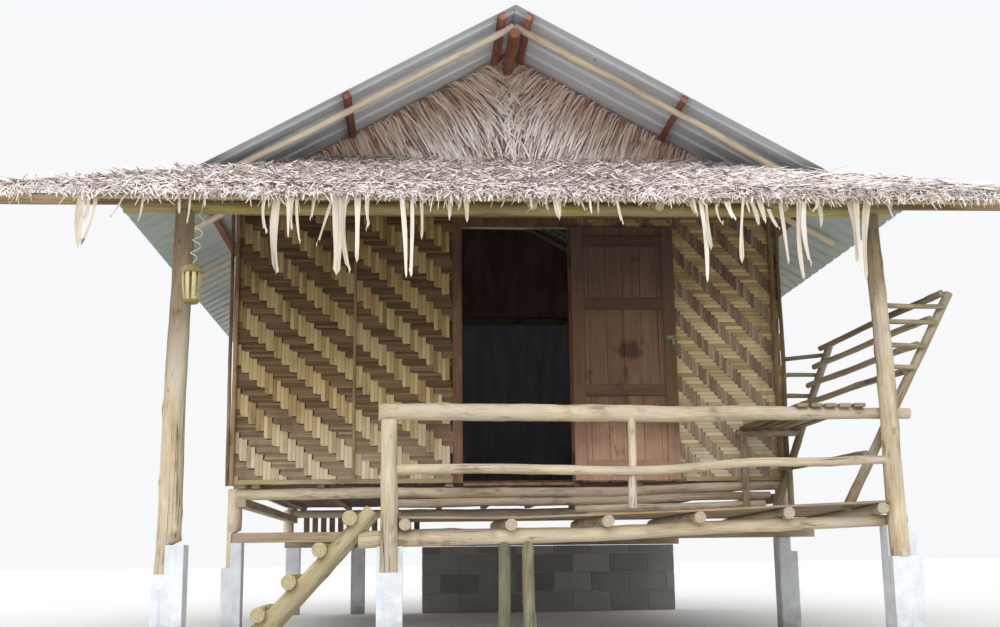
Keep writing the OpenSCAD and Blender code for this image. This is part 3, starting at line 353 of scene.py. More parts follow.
def log(solid, rng, start, end, d0, d1, bends=(), knots=3, wobble=0.005, lumps=0.035, sides=18,
        step=0.045, trim=None, tone=None, girth=()):
    """A round log with its own taper, bends, knots and sawn ends."""
    start, end = np.asarray(start, float), np.asarray(end, float)
    length = float(np.linalg.norm(end - start))
    along = (end - start) / length
    side = np.cross(along, (0, 0, 1) if abs(along[2]) < 0.9 else (1, 0, 0))
    side /= np.linalg.norm(side)
    third = np.cross(along, side)
    rows = max(3, int(length / step) + 1)
    t = np.linspace(0, 1, rows)
    s = t * length
    fade = np.clip(4 * t * (1 - t), 0, 1) ** 0.5
    sway, lift = smooth_noise(rng, 3, 2.2), smooth_noise(rng, 3, 2.2)
    centre = start + t[:, None] * (end - start)
    centre = centre + (fade * wobble * sway(s))[:, None] * side + (fade * wobble * lift(s))[:, None] * third
    for place, width, offset in bends:
        centre = centre + np.exp(-((t - place) / width) ** 2)[:, None] * np.asarray(offset, float)
    stops = ((0, d0), *girth, (1, d1))
    radius = np.interp(t, [s[0] for s in stops], [s[1] / 2 for s in stops])
    angle = np.linspace(0, 2 * math.pi, sides, endpoint=False)
    grid_s, grid_a = np.meshgrid(s, angle, indexing="ij")
    shape, knot = np.zeros_like(grid_s), np.zeros_like(grid_s)
    for turn in range(1, 4):
        wave = smooth_noise(rng, 3, 5.0)
        shape += wave(grid_s) * np.sin(turn * grid_a + rng.uniform(0, 6.3)) / turn
    swell = smooth_noise(rng, 4, 7.0)(grid_s)
    shape = shape * lumps * 0.6 + swell * lumps
    for _ in range(knots):
        ks, ka, size = rng.uniform(0.05, 0.95) * length, rng.uniform(0, 6.28), rng.uniform(0.5, 1.0)
        turn = (grid_a - ka + math.pi) % (2 * math.pi) - math.pi
        hump = np.exp(-((grid_s - ks) / (0.035 + 0.02 * size)) ** 2 - (turn / 0.55) ** 2)
        shape += hump * 0.16 * size
        knot = np.maximum(knot, np.exp(-((grid_s - ks) / 0.022) ** 2 - (turn / 0.32) ** 2) * size)
    r = radius[:, None] * (1 + shape)
    tilt = rng.uniform(-0.06, 0.06, 4)
    push = np.zeros_like(r)
    push[0] = r[0] * (tilt[0] * np.cos(angle) + tilt[1] * np.sin(angle))
    push[-1] = r[-1] * (tilt[2] * np.cos(angle) + tilt[3] * np.sin(angle))
    u, v = r * np.cos(grid_a), r * np.sin(grid_a)
    ring = centre[:, None, :] + u[..., None] * side + v[..., None] * third + push[..., None] * along
    offset = rng.uniform(0, GRAIN_SHIFT)
    tone = rng.uniform(0.2, 0.8) if tone is None else tone
    grain = np.stack([u, v, grid_s + offset], -1)
    trim = trim or (lambda points: points)
    points = trim(ring.reshape(-1, 3))
    solid.put(points, skin(rows, sides), grain.reshape(-1, 3), tone, knot.reshape(-1))
    for row, outward in ((0, -1), (rows - 1, 1)):
        rim = points.reshape(rows, sides, 3)[row]
        middle = rim.mean(0)
        inner = trim(middle + (rim - middle) * END_FACE + along * outward * radius[row] * END_RISE)
        hub = inner.mean(0)[None]
        cap = np.concatenate([rim, inner, hub])
        local = np.concatenate([rim - middle, inner - middle, hub - middle])
        flat = np.stack([local @ side, local @ third, np.full(len(local), offset)], -1)
        faces = skin(2, sides) + [(sides + j, sides + (j + 1) % sides, 2 * sides) for j in range(sides)]
        if outward < 0:
            faces = [f[::-1] for f in faces]
        shade = np.concatenate([np.zeros(sides), np.ones(sides + 1)])
        solid.put(cap, faces, flat, tone, cut=shade, smooth=False)


# Which of X, Y and Z run across and along the grain, for each direction of the grain
GRAIN_ORDER = {"x": [1, 2, 0], "y": [0, 2, 1], "z": [0, 1, 2]}


def board(solid, rng, low, high, axis="z", tone=None, wear=0.002, slot=0):
    """A sawn board between two corners, with rounded and slightly uneven edges."""
    low, high = np.minimum(low, high), np.maximum(low, high)
    centre, half = (low + high) / 2, (high - low) / 2
    edge = min(wear, half.min() * 0.45)
    order = GRAIN_ORDER[axis]
    h = half[order]
    ring = []
    for sx, sy in ((1, 1), (-1, 1), (-1, -1), (1, -1)):
        a, b = (sx * (h[0] - edge), sy * h[1]), (sx * h[0], sy * (h[1] - edge))
        ring += [b, a] if sx * sy > 0 else [a, b]
    ring = np.array(ring)
    rows = max(2, int(2 * h[2] / 0.12) + 1)
    run = np.linspace(-h[2], h[2], rows)
    run = np.concatenate([[run[0]], [run[0] + edge], run[1:-1], [run[-1] - edge], [run[-1]]])
    points = []
    sway = smooth_noise(rng, 3, 2.5), smooth_noise(rng, 3, 2.5)
    for i, s in enumerate(run):
        inset = edge if i in (0, len(run) - 1) else 0
        scale = (1 - inset / max(h[0], 1e-6), 1 - inset / max(h[1], 1e-6))
        bow = [w(np.array(s)) * wear * 0.35 for w in sway]
        for x, y in ring:
            points.append((x * scale[0] + bow[0], y * scale[1] + bow[1], s))
    points = np.array(points)
    n = len(ring)
    faces = skin(len(run), n) + lids(len(run), n)
    grain = points + np.array((rng.uniform(0, 9), rng.uniform(0, 9), rng.uniform(0, GRAIN_SHIFT)))
    back = np.argsort(order)
    place = points[:, back] + centre
    if axis == "y":
        faces = [f[::-1] for f in faces]
    tone = rng.uniform(0.15, 0.85) if tone is None else tone
    ends = np.zeros(len(points))
    ends[:n] = ends[-n:] = 0.35
    solid.put(place, faces, grain, tone, 0.0, ends, slot, False)


def tube(solid, points, thick, sides=8):
    """A thin rod bent through given points."""
    points = np.asarray(points, float)
    along = np.gradient(points, axis=0)
    along /= np.linalg.norm(along, axis=1)[:, None]
    side = np.cross(along[0], (0.3, 0.9, 0.1))
    rings, grain, run = [], [], 0.0
    for i, (point, ahead) in enumerate(zip(points, along)):
        side = side - ahead * (side @ ahead)
        side /= np.linalg.norm(side)
        third = np.cross(ahead, side)
        run += np.linalg.norm(points[i] - points[i - 1]) if i else 0.0
        for a in np.linspace(0, 2 * math.pi, sides, endpoint=False):
            u, v = math.cos(a) * thick / 2, math.sin(a) * thick / 2
            rings.append(point + side * u + third * v)
            grain.append((u, v, run))
    solid.put(rings, skin(len(points), sides) + lids(len(points), sides), grain)


def lathe(solid, centre, floor, outline, sides=20):
    """A turned body: its outline runs from the upper pole to the lower one."""
    points = [(centre[0], centre[1], floor + outline[0][1])]
    for radius, height in outline[1:-1]:
        for j in range(sides):
            turn = 2 * math.pi * j / sides
            points.append((centre[0] + radius * math.cos(turn), centre[1] + radius * math.sin(turn),
                           floor + height))
    points.append((centre[0], centre[1], floor + outline[-1][1]))
    rows, last = len(outline) - 2, len(points) - 1
    ends = [(1 + j, 1 + (j + 1) % sides) for j in range(sides)]
    foot = (rows - 1) * sides
    faces = [(0, a, b) for a, b in ends]
    faces += [(a + 1, d + 1, c + 1, b + 1) for a, b, c, d in skin(rows, sides)]
    faces += [(foot + a, last, foot + b) for a, b in ends]
    solid.put(points, faces, [(p[2], p[0] - centre[0], 0.4 * (p[1] - centre[1])) for p in points], 0.5)


def ribbon(solid, rng, start, end, w0, w1, sway=0.012):
    """A flat strip of dry leaf with a crease down its middle and a torn end."""
    start, end = np.asarray(start, float), np.asarray(end, float)
    rows = 9
    phase, bow = rng.uniform(0, 6.3), rng.normal(0, sway)
    twist = rng.normal(0, 0.35)
    points, grain = [], []
    shift = rng.uniform(0, 40)
    for i in range(rows):
        s = i / (rows - 1)
        stray = np.array((bow * math.sin(math.pi * s), 0.6 * bow * math.sin(3 * s + phase), 0))
        middle = start + (end - start) * s + stray
        half = (w0 + (w1 - w0) * s ** 1.4) / 2 * (1 + 0.14 * math.sin(7 * s + phase))
        turn = twist * s
        across = np.array((math.cos(turn), math.sin(turn), 0))
        crease = np.array((0, 0.35 * half, 0))
        for side in (-1, 0, 1):
            torn = rng.uniform(0.01, 0.05) * abs(side) if i == rows - 1 else 0.0
            points.append(middle + across * half * side + crease * (1 - abs(side)) + np.array((0, 0, torn)))
            grain.append((half * side, 0.0, np.linalg.norm(end - start) * s + shift))
    faces = [(i + j, i + j + 3, i + j + 4, i + j + 1) for i in range(0, 3 * rows - 3, 3) for j in range(2)]
    solid.put(points, faces, grain, rng.uniform(0.2, 0.9))


# What the user can change

def colour_setting(name, about, default):
    return bpy.props.FloatVectorProperty(
        name=name, description=about, subtype="COLOR", size=3, min=0, max=1, default=default)


def length_setting(name, about, default, low=0.0, high=20.0):
    return bpy.props.FloatProperty(
        name=name, description=about, default=default, min=low, max=high, subtype="DISTANCE", unit="LENGTH")


def number_setting(name, about, default, low, high):
    return bpy.props.FloatProperty(name=name, description=about, default=default, min=low, max=high)


class LogSettings(bpy.types.PropertyGroup):
    """Colours of the round timber"""
    pale: colour_setting("Pale Wood", "Sunlit sapwood of the peeled logs", tint(228, 214, 186))
    mid: colour_setting("Wood", "Main colour of the peeled logs", tint(198, 180, 148))
    dark: colour_setting("Dark Wood", "Shaded and stained streaks of the peeled logs", tint(134, 110, 82))
    grey: colour_setting("Weathered Wood", "Bleached grey of old wood", tint(192, 184, 174))


class WeaveSettings(bpy.types.PropertyGroup):
    """Sizes and colours of the woven bamboo walls"""
    group_width: length_setting("Upright Group", "Width of a group of upright strips", 0.060, 0.02, 0.2)
    row_height: length_setting("Level Group", "Height of a group of level strips", 0.0553, 0.02, 0.2)
    fine_upright: length_setting(
        "Fine Upright", "Width of an upright strip in the finer weave by the door", 0.0270, 0.01, 0.06)
    fine_level: length_setting(
        "Fine Level", "Width of a level strip in the finer weave by the door", 0.0285, 0.01, 0.06)
    relief: length_setting("Relief", "How far a strip stands out where it passes over", 0.0045, 0.001, 0.01)
    pale: colour_setting("Pale Strip", "Inner side of the bamboo", tint(206, 180, 122))
    dark: colour_setting("Dark Strip", "Outer side of the bamboo, aged", tint(126, 100, 70))


class ThatchSettings(bpy.types.PropertyGroup):
    """Sizes and colours of the palm thatch"""
    blade_width: length_setting("Blade Width", "Width of a palm leaflet in the gable", 0.026, 0.005, 0.06)
    gable_blade: length_setting("Gable Blade", "Length of a leaflet in the gable", 0.30, 0.1, 1.0)
    scrap_width: length_setting("Scrap Width", "Width of a leaf scrap on the porch roof", 0.017, 0.005, 0.06)
    porch_blade: length_setting("Porch Blade", "Length of a leaf scrap on the porch roof", 0.095, 0.03, 0.6)
    curl: length_setting("Curl", "How far the tips curl", 0.045, 0.0, 0.2)
    pale: colour_setting("Pale Leaf", "Bleached leaf", tint(255, 252, 250))
    mid: colour_setting("Leaf", "Dry leaf", tint(242, 228, 224))
    dark: colour_setting("Dark Leaf", "Leaf in the depth of the thatch", tint(112, 92, 90))


class StageSettings(bpy.types.PropertyGroup):
    """Camera and light"""
    focal: number_setting("Focal Length", "Lens of the camera in millimetres", 45.306, 10, 200)
    daylight: number_setting("Daylight", "Strength of the even light all round", 0.80, 0, 5)
    key: number_setting("Key Light", "Strength of the soft light from above", 1.5, 0, 20)
    fill: number_setting("Fill Light", "Strength of the soft light from the front", 0.3, 0, 20)


SETTINGS = {"house_logs": LogSettings, "house_weave": WeaveSettings, "house_thatch": ThatchSettings,
            "house_stage": StageSettings}


# Each wood: its dark, middle, pale and, where it weathers, grey colour on screen, then what is its own
WOODS = {
    "old grey wood": ((84, 66, 52), (128, 106, 84), (164, 142, 116), (150, 142, 134), {}),
    "bamboo cane": ((146, 126, 84), (190, 172, 124), (218, 204, 160), (196, 186, 166), dict(
        rough=0.55, bump=0.25, checks=0.2, greying=0.3)),
    "bleached cane": ((172, 152, 120), (220, 204, 174), (240, 230, 208), (212, 194, 184), dict(
        rough=0.6, bump=0.25, checks=0.2, greying=0.6)),
    "olive bamboo": ((108, 94, 50), (158, 142, 82), (198, 184, 122), (172, 158, 122), dict(
        rough=0.5, bump=0.2, checks=0.2, greying=0.5)),
    "trodden bamboo": ((96, 74, 56), (146, 122, 92), (186, 164, 128), (160, 150, 138), dict(
        rough=0.65, checks=0.4)),
    "mossy prop wood": ((76, 74, 56), (122, 118, 94), (158, 152, 126), dict(flecks=0.5)),
    "bleached log": ((148, 124, 98), (214, 194, 166), (242, 228, 204), (208, 198, 186), dict(
        checks=0.8, flecks=0.6)),
    "bench wood": ((100, 84, 62), (150, 134, 106), (192, 178, 148), (170, 162, 148), dict(
        checks=0.8, flecks=0.6)),
    "stair wood": ((136, 116, 76), (198, 178, 130), (230, 216, 172), (192, 186, 166), dict(
        checks=0.8, flecks=0.7)),
    # Thin poles: painted shade of the porch roof over their upper parts
    "thin brown poles": ((96, 76, 54), (148, 122, 90), (188, 164, 126), dict(shade=(1.9, 2.9), flecks=0.6)),
    "brown sawn timber": ((98, 60, 44), (142, 92, 68), (172, 122, 92), (150, 128, 112), dict(
        rings=False, greying=0.3)),
    "rust red purlin": ((110, 66, 54), (150, 96, 80), (184, 134, 112), (160, 134, 120), dict(
        rings=False, greying=0.3)),
    "weathered sawn timber": ((120, 102, 80), (170, 150, 122), (206, 188, 158), (176, 168, 154), dict(
        rings=False, greying=0.5)),
    # Door frame: painted shade of the porch roof over its upper part
    "door frame wood": ((94, 68, 54), (136, 104, 82), (172, 140, 112), dict(rings=False, shade=(1.7, 2.7))),
    "dull brown board": ((84, 64, 46), (126, 102, 76), (162, 138, 108), dict(rings=False)),
    "floor planks": ((72, 50, 36), (104, 74, 52), (130, 96, 70), dict(rings=False)),
    # Behind the front weave: dark, painted shade of the room behind the gaps
    "wall lining": ((48, 34, 26), (62, 46, 34), (80, 60, 44), dict(rings=False)),
    # Inside the other walls: pale grey, painted light for the room seen through the doorway
    "pale lining in painted light": ((150, 150, 156), (180, 180, 188), (200, 200, 208), dict(rings=False)),
    # Beds of the thatch: dark brown, painted shade deep between the leaves
    "thatch depth": ((84, 66, 56), (118, 98, 84), (150, 130, 114), dict(rings=False, checks=0)),
    "gable thatch depth": ((96, 68, 54), (140, 106, 88), (170, 136, 116), dict(rings=False, checks=0)),
    "bleached leaf strip": ((150, 136, 112), (216, 206, 184), (246, 242, 230), (204, 194, 186), dict(
        stretch=0.02, fibre=150, rings=False, bump=0.3, checks=0.5, greying=0.5)),
    "olive basket cane": ((104, 88, 56), (150, 130, 88), (186, 168, 122), dict(rings=False, checks=0)),
    "straw slats": ((160, 144, 98), (202, 186, 138), (226, 214, 168), dict(rings=False, checks=0)),
}
# Materials and trees made so far, by name
made = {}


def once(name, make):
    """What was made under a name before, or else what make gives."""
    if name not in made:
        made[name] = make()
    return made[name]


def timber(name):
    """The wood of that name, shared by all pieces that use it."""
    *tones, own = WOODS[name]
    return once(name, lambda: wood(name, *(tint(*tone) for tone in tones), **own))


def log_wood():
    """The peeled wood that most logs share, in the colours of the panel, with painted shade high under the
    porch roof.
    """
    s = bpy.context.scene.house_logs
    return once("peeled wood", lambda: wood(
        "peeled wood", tuple(s.dark), tuple(s.mid), tuple(s.pale), tuple(s.grey),
        checks=0.9, greying=0.55, shade=(1.95, 2.6), flecks=0.6))


class HouseOperator(bpy.types.Operator):
    """Makes a part of the house. The seed starts its random draws."""
    bl_options = {"REGISTER", "UNDO"}
    seed = 1

    def execute(self, context):
        self.build(context.scene, np.random.default_rng(self.seed))
        return {"FINISHED"}


def stop_at(axis, limit, ledge, foot):
    """Lets a log run down beside its footing: below the ledge its points keep to one side of a plane."""
    def trim(points):
        points = points.copy()
        beyond = (points[:, 2] < ledge) & (points[:, axis] > limit)
        points[beyond, axis] = limit
        points[:, 2] = np.maximum(points[:, 2], foot)
        return points
    return trim


def logs(rng, name, finish, slot, nodes, rows, **same):
    """One piece of round logs. A row gives a log's two ends in millimetres, its widths there in
    metres, and what is its own."""
    solid = Solid()
    for start, end, d0, d1, *own in rows:
        log(solid, rng, at(*start), at(*end), d0, d1, **{**same, **dict(*own)})
    return solid.piece(name, [finish], slot, nodes)


class HOUSE_OT_posts(HouseOperator):
    """Makes the peeled posts of the porch and the railing"""
    bl_idname = "house.posts"
    bl_label = "Porch Posts"
    seed = 11

    def build(self, scene, rng):
        back = at(0, -1532, 0)[1]
        logs(rng, "porch_post_logs", log_wood(), "peeled_logs", ["porch_posts"], (
            ((-2244, -1540, 470), (-2214, -1540, 2765), 0.150, 0.122, dict(
                wobble=0.004, trim=stop_at(0, -2.244, 0.655, 0.48), tone=0.62)),
            ((2343, -1544, 530), (2294, -1544, 2765), 0.124, 0.106, dict(
                wobble=0.006, bends=((0.5, 0.2, (0.010, 0, 0)),), trim=stop_at(1, back, 0.80, 0.538),
                tone=0.45)),
        ), knots=9, step=0.035)
        logs(rng, "rail_post_log", log_wood(), "peeled_logs", ["rail_post"], (
            ((-895, -1543, 474), (-895, -1543, 1421), 0.110, 0.102),
        ), knots=5, wobble=0.003, trim=stop_at(1, back, 0.735, 0.474), step=0.03, tone=0.6)


class HOUSE_OT_railing(HouseOperator):
    """Makes the rails and the baluster of the porch"""
    bl_idname = "house.railing"
    bl_label = "Railing"
    seed = 5

    def build(self, scene, rng):
        for node, slot, row in (
            ("top_rail", "peeled_logs", ((-960, -1544, 1465), (2500, -1458, 1453), 0.110, 0.070, dict(
                knots=16, bends=((0.25, 0.12, (0, 0, 0.006)), (0.62, 0.15, (0, 0, -0.006))),
                girth=((0.45, 0.108), (0.68, 0.100), (0.80, 0.080))))),
            ("mid_rail", "peeled_logs", ((-849, -1544, 1105), (2294, -1544, 1147), 0.064, 0.056, dict(
                knots=14, bends=((0.48, 0.17, (0, 0, -0.036)), (0.24, 0.1, (0, 0, -0.008)),
                                 (0.85, 0.08, (0, 0, -0.008)))))),
            ("baluster", "dark_logs", ((640, -1520, 855), (651, -1520, 1425), 0.056, 0.050)),
        ):
            logs(rng, node + "_log", log_wood(), slot, [node], [row], wobble=0.007, lumps=0.05, step=0.03,
                 tone=0.6)


class HOUSE_OT_deck(HouseOperator):
    """Makes the front beam, props, joists and slats of the deck"""
    bl_idname = "house.deck"
    bl_label = "Deck"
    seed = 23
    # Each joist's place along the front and the height of its front end; all end at one height behind
    joists = ((-796, 765), (-134, 757), (474, 774), (1058, 792), (1626, 815), (2236, 838))
    front_y, back_y, back_z, thick = -1585, 85, 790.5, 0.075
    # Pairs of split canes: how many, how far apart, where the first lies, and the width of one cane
    slats, pitch, first, wide = 17, 92.6875, -1587, 40
    left, right = -825, 2280

    def top(self, x, y):
        """Height of the joists' upper side, in millimetres."""
        front = np.interp(x, [j[0] for j in self.joists], [j[1] for j in self.joists])
        back = (y - self.front_y) / (self.back_y - self.front_y)
        return front + (self.back_z - front) * back + self.thick * 500

    def build(self, scene, rng):
        logs(rng, "deck_front_log", log_wood(), "peeled_logs", ["deck_front_beam"], (
            ((-1085, -1465, 676), (2424, -1465, 767), 0.112, 0.070),
        ), bends=((0.42, 0.2, (0, 0, -0.020)),), knots=18, wobble=0.006, lumps=0.05, step=0.035, tone=0.55)
        logs(rng, "deck_prop_logs", timber("mossy prop wood"), "dark_logs", ["deck_props"], (
            ((-175, -1465, 0), (-175, -1465, 655), 0.082, 0.074),
            ((-25, -1465, 0), (-25, -1465, 659), 0.082, 0.074),
        ), knots=4, wobble=0.008)
        logs(rng, "deck_joist_logs", log_wood(), "peeled_logs", ["deck_joists"], [
            ((x, self.front_y, z), (x, self.back_y, self.back_z), self.thick, 0.073) for x, z in self.joists
        ], knots=5, wobble=0.003, lumps=0.03, tone=0.6)
        solid = Solid()
        for j in range(self.slats):
            ends = rng.uniform(-14, 6, 2)
            for k in range(2):
                y = self.first + self.pitch * j + self.wide / 2 + k * (self.wide + 3)
                run = np.linspace(self.left + ends[0], self.right - ends[1], 36)
                line = np.array([at(x, y, self.top(x, y) + 5) for x in run])
                split_cane(solid, rng, line, self.wide / 1000, 0.013)
        solid.piece("deck_slat_canes", [timber("trodden bamboo")], "bamboo_poles", ["deck_slats"])


def split_cane(solid, rng, line, width, rise):
    """Half a bamboo cane along a line, rounded side up, with a swollen node every few hands."""
    span = np.linalg.norm(line[-1] - line[0])
    along = (line[-1] - line[0]) / span
    across = np.cross(along, (0, 0, 1))
    across /= np.linalg.norm(across)
    up = np.cross(across, along)
    s = np.linspace(0, span, len(line))
    node_at = rng.uniform(0, 0.35)
    swell = 1 + 0.07 * np.exp(-(((s - node_at + 0.16) % 0.33 - 0.16) / 0.03) ** 2)
    wave = smooth_noise(rng, 3, 3.0)(s) * 0.0025
    loop = [(math.cos(a) * width / 2, math.sin(a) * rise - 0.4 * rise) for a in np.linspace(0, math.pi, 6)]
    loop += [(-width * 0.47, -0.55 * rise), (width * 0.47, -0.55 * rise)]
    shift = rng.uniform(0, 40)
    points = [line[i] + across * (u * swell[i] + wave[i]) + up * v * swell[i]
              for i in range(len(s)) for u, v in loop]
    grain = [(u, v, run + shift) for run in s for u, v in loop]
    faces = skin(len(s), len(loop)) + lids(len(s), len(loop))
    solid.put(points, [f[::-1] for f in faces], grain, rng.uniform(0.1, 0.9))


class HOUSE_OT_base(HouseOperator):
    """Makes the posts and sill logs under the room"""
    bl_idname = "house.base"
    bl_label = "Base of the Room"
    seed = 31

    def build(self, scene, rng):
        lapped = dict(trim=stop_at(0, -2.078, 0.759, 0.508))
        logs(rng, "floor_post_logs", timber("bleached log"), "peeled_logs", ["floor_posts"], [
            ((x, y, foot), (x, y, 1078), 0.108, 0.104, own) for x, y, foot, own in (
                (-2064, 50, 508, lapped), (-2064, 4150, 759, {}), (2064, 50, 759, {}), (2064, 4150, 759, {}))
        ], knots=2, wobble=0.002, lumps=0.03, step=0.03)
        logs(rng, "sill_log_stack", timber("bleached log"), "peeled_logs", ["sill_logs"], (
            ((-2058, 38, 1036), (2062, 22, 1080), 0.084, 0.074, dict(
                bends=((0.66, 0.2, (0, 0, -0.030)), (0.3, 0.12, (0, 0, -0.008))))),
            ((-2058, 4160, 1038), (2058, 4160, 1038), 0.084, 0.080),
            ((-955, 30, 962), (1960, 10, 1000), 0.066, 0.058, dict(bends=((0.55, 0.2, (0, 0, -0.014)),))),
            ((470, 26, 907), (1915, 10, 936), 0.062, 0.056, dict(bends=((0.5, 0.2, (0, 0, -0.008)),))),
            ((560, 30, 857), (1860, 26, 864), 0.062, 0.058),
        ), knots=10, wobble=0.006, lumps=0.06, step=0.035)


class HOUSE_OT_bench(HouseOperator):
    """Makes the leaning bench beside the porch"""
    bl_idname = "house.bench"
    bl_label = "Bench"
    seed = 47
    # Ends of the back poles on the front and the rear post, as places across and heights
    back_poles = ((2803, 2272, 2405, 2122), (2705, 2095, 2347, 1977), (2607, 1919, 2290, 1832),
                  (2509, 1742, 2233, 1687), (2206, 1195, 2040, 1195))
    arm_rails = (
        ((2315, -1483, 2175), (2806, -1431, 2175)), ((2317, -1483, 2065), (2745, -1431, 2065)),
        ((2321, -1483, 1905), (2657, -1431, 1905)), ((2324, -1483, 1765), (2579, -1431, 1765)),
        ((2104, -39, 2036), (2458, -39, 2072)), ((2104, -39, 1912), (2400, -39, 1912)),
        ((2104, -39, 1750), (2336, -39, 1750)))

    def build(self, scene, rng):
        wood_here = timber("bench wood")
        logs(rng, "bench_post_logs", wood_here, "peeled_logs", ["bench_posts"], (
            ((2066, -1388, 842), (2861, -1388, 2274), 0.066, 0.058, dict(wobble=0.006)),
            ((1942, -82, 815), (2462, -82, 2132), 0.062, 0.056, dict(wobble=0.004)),
        ), knots=8, lumps=0.06, step=0.03)
        solid = Solid()
        for x0, z0, x1, z1 in self.back_poles:
            a, b = at(x0, -1388, z0), at(x1, -82, z1)
            u = (b - a) / np.linalg.norm(b - a)
            log(solid, rng, a - u * rng.uniform(0.014, 0.03), b + u * 0.027, 0.047, 0.042, (), 5, 0.008, 0.06,
                sides=14, step=0.03)
        solid.piece("bench_back_logs", [wood_here], "peeled_logs", ["bench_back_poles"])
        logs(rng, "bench_arm_logs", wood_here, "peeled_logs", ["bench_arm_rails"], [
            (*ends, 0.036, 0.031) for ends in self.arm_rails
        ], knots=2, wobble=0.006, lumps=0.06, sides=12, step=0.03)
        solid = Solid()
        for x in range(1731, 2108, 94):
            board(solid, rng, at(x, -1546, 1490), at(x + 74, -54, 1515), "y", wear=0.004)
        solid.piece("bench_seat_slats", [wood_here], "bamboo_poles", ["bench_seat"])
        logs(rng, "bench_support_logs", wood_here, "peeled_logs", ["bench_supports"], (
            ((1702, -82, 1465), (2199, -82, 1465), 0.056, 0.054, dict(wobble=0.003)),
            ((1752, -82, 842), (1752, -82, 1442), 0.052, 0.050),
            ((2050, -232, 845), (2050, -232, 1180), 0.046, 0.044, dict(knots=2)),
        ), wobble=0.004)


class HOUSE_OT_stair(HouseOperator):
    """Makes the two leaning logs and the round treads of the stair"""
    bl_idname = "house.stair"
    bl_label = "Stair"
    seed = 53
    slope = math.radians(47.4293)

    def build(self, scene, rng):
        u = np.array((math.cos(self.slope), 0, math.sin(self.slope)))
        solid = Solid()
        for y in (-1495, -960):
            foot = at(-1790, y, 0)
            log(solid, rng, foot - 0.075 * u, foot + u * 1.165, 0.126, 0.088, (), 6, 0.004, 0.03,
                trim=lambda points: np.maximum(points, (-math.inf, -math.inf, 0)))
        solid.piece("stair_side_logs", [timber("stair wood")], "peeled_logs", ["stair_stringers"])
        logs(rng, "stair_tread_logs", timber("stair wood"), "peeled_logs", ["stair_treads"], [
            ((x, -1600, z), (x, -855, z), 0.092, 0.088)
            for x, z in ((-1683, 231.5), (-1501, 424), (-1318.5, 616), (-1136, 808))
        ], knots=4, wobble=0.003, lumps=0.03)


class HOUSE_OT_roof_poles(HouseOperator):
    """Makes the round timber that carries the two roofs"""
    bl_idname = "house.roof_poles"
    bl_label = "Roof Poles"
    seed = 61
    # Laths of the porch: distance in front of the wall, height and half length
    laths = ((-1940, 2752.8, 3135), (-1720, 2841.7, 2831), (-1330, 2999.3, 2546),
             (-940, 3156.8, 2262), (-460, 3350.8, 1809), (-60, 3512.4, 1517))

    def rafters(self, rng):
        for y in (-720, 100, 1400, 2800, 4100, 4920):
            for side in (-1, 1):
                bow = rng.uniform(-0.012, 0.012, 2)
                yield (side * 4, y, 4441), (side * 2612, y, 2995), 0.054, 0.050, dict(
                    bends=((0.35, 0.16, (0, 0, bow[0])), (0.7, 0.14, (0, 0, bow[1]))))

    def room_frame(self):
        for x in (-2025, 2025):
            yield (x, -160, 3241), (x, 4360, 3241), 0.090, 0.086, dict(knots=12, wobble=0.004)
            for y in (75, 4125):
                yield (x, y, 1082), (x, y, 3207), 0.110, 0.106, dict(knots=8)
        for y in (60, 4140):
            yield (-1970, y, 3130), (1970, y, 3130), 0.080, 0.078, dict(knots=10)

    def porch_canes(self):
        for x in (-1600, -800, 0, 800, 1600):
            yield (x, -1930, 2712.6), (x, -12, 3487.5), 0.056, 0.052, dict(knots=5, lumps=0.03)
        yield (-1650, -42, 3409), (1650, -42, 3409), 0.080, 0.078, dict(knots=6)
        for y, z, half in self.laths:
            yield (-half, y, z), (half, y, z), 0.030, 0.028, dict(knots=4, lumps=0.03, sides=10, step=0.1)

    def build(self, scene, rng):
        logs(rng, "flying_rafter_canes", timber("bleached cane"), "bamboo_poles", ["rafters"],
             self.rafters(rng), knots=8, wobble=0.006, lumps=0.03)
        logs(rng, "ridge_log", timber("brown sawn timber"), "peeled_logs", ["ridge_pole"], (
            ((0, -770, 4370.5), (0, 4970, 4370.5), 0.080, 0.078),), knots=20, wobble=0.004, lumps=0.04)
        logs(rng, "room_frame_logs", log_wood(), "peeled_logs", ["wall_plates", "corner_posts"],
             self.room_frame(), wobble=0.003)
        logs(rng, "porch_roof_canes", timber("bamboo cane"), "bamboo_poles", ["porch_rafters", "porch_laths"],
             self.porch_canes(), wobble=0.003)
        solid = Solid()
        for x0, x1 in ((-3385, -2180), (1950, 3385)):
            board(solid, rng, at(x0, -1611, 2796), at(x1, -1585, 2850), "x", wear=0.004)
        solid.piece("eave_boards", [timber("dull brown board")], "sawn_timber")
        logs(rng, "eave_cane", timber("olive bamboo"), "bamboo_poles", ["porch_eave_beam"], (
            ((-2600, -1540, 2800), (2420, -1540, 2800), 0.090, 0.082),), knots=7, wobble=0.004, lumps=0.015)


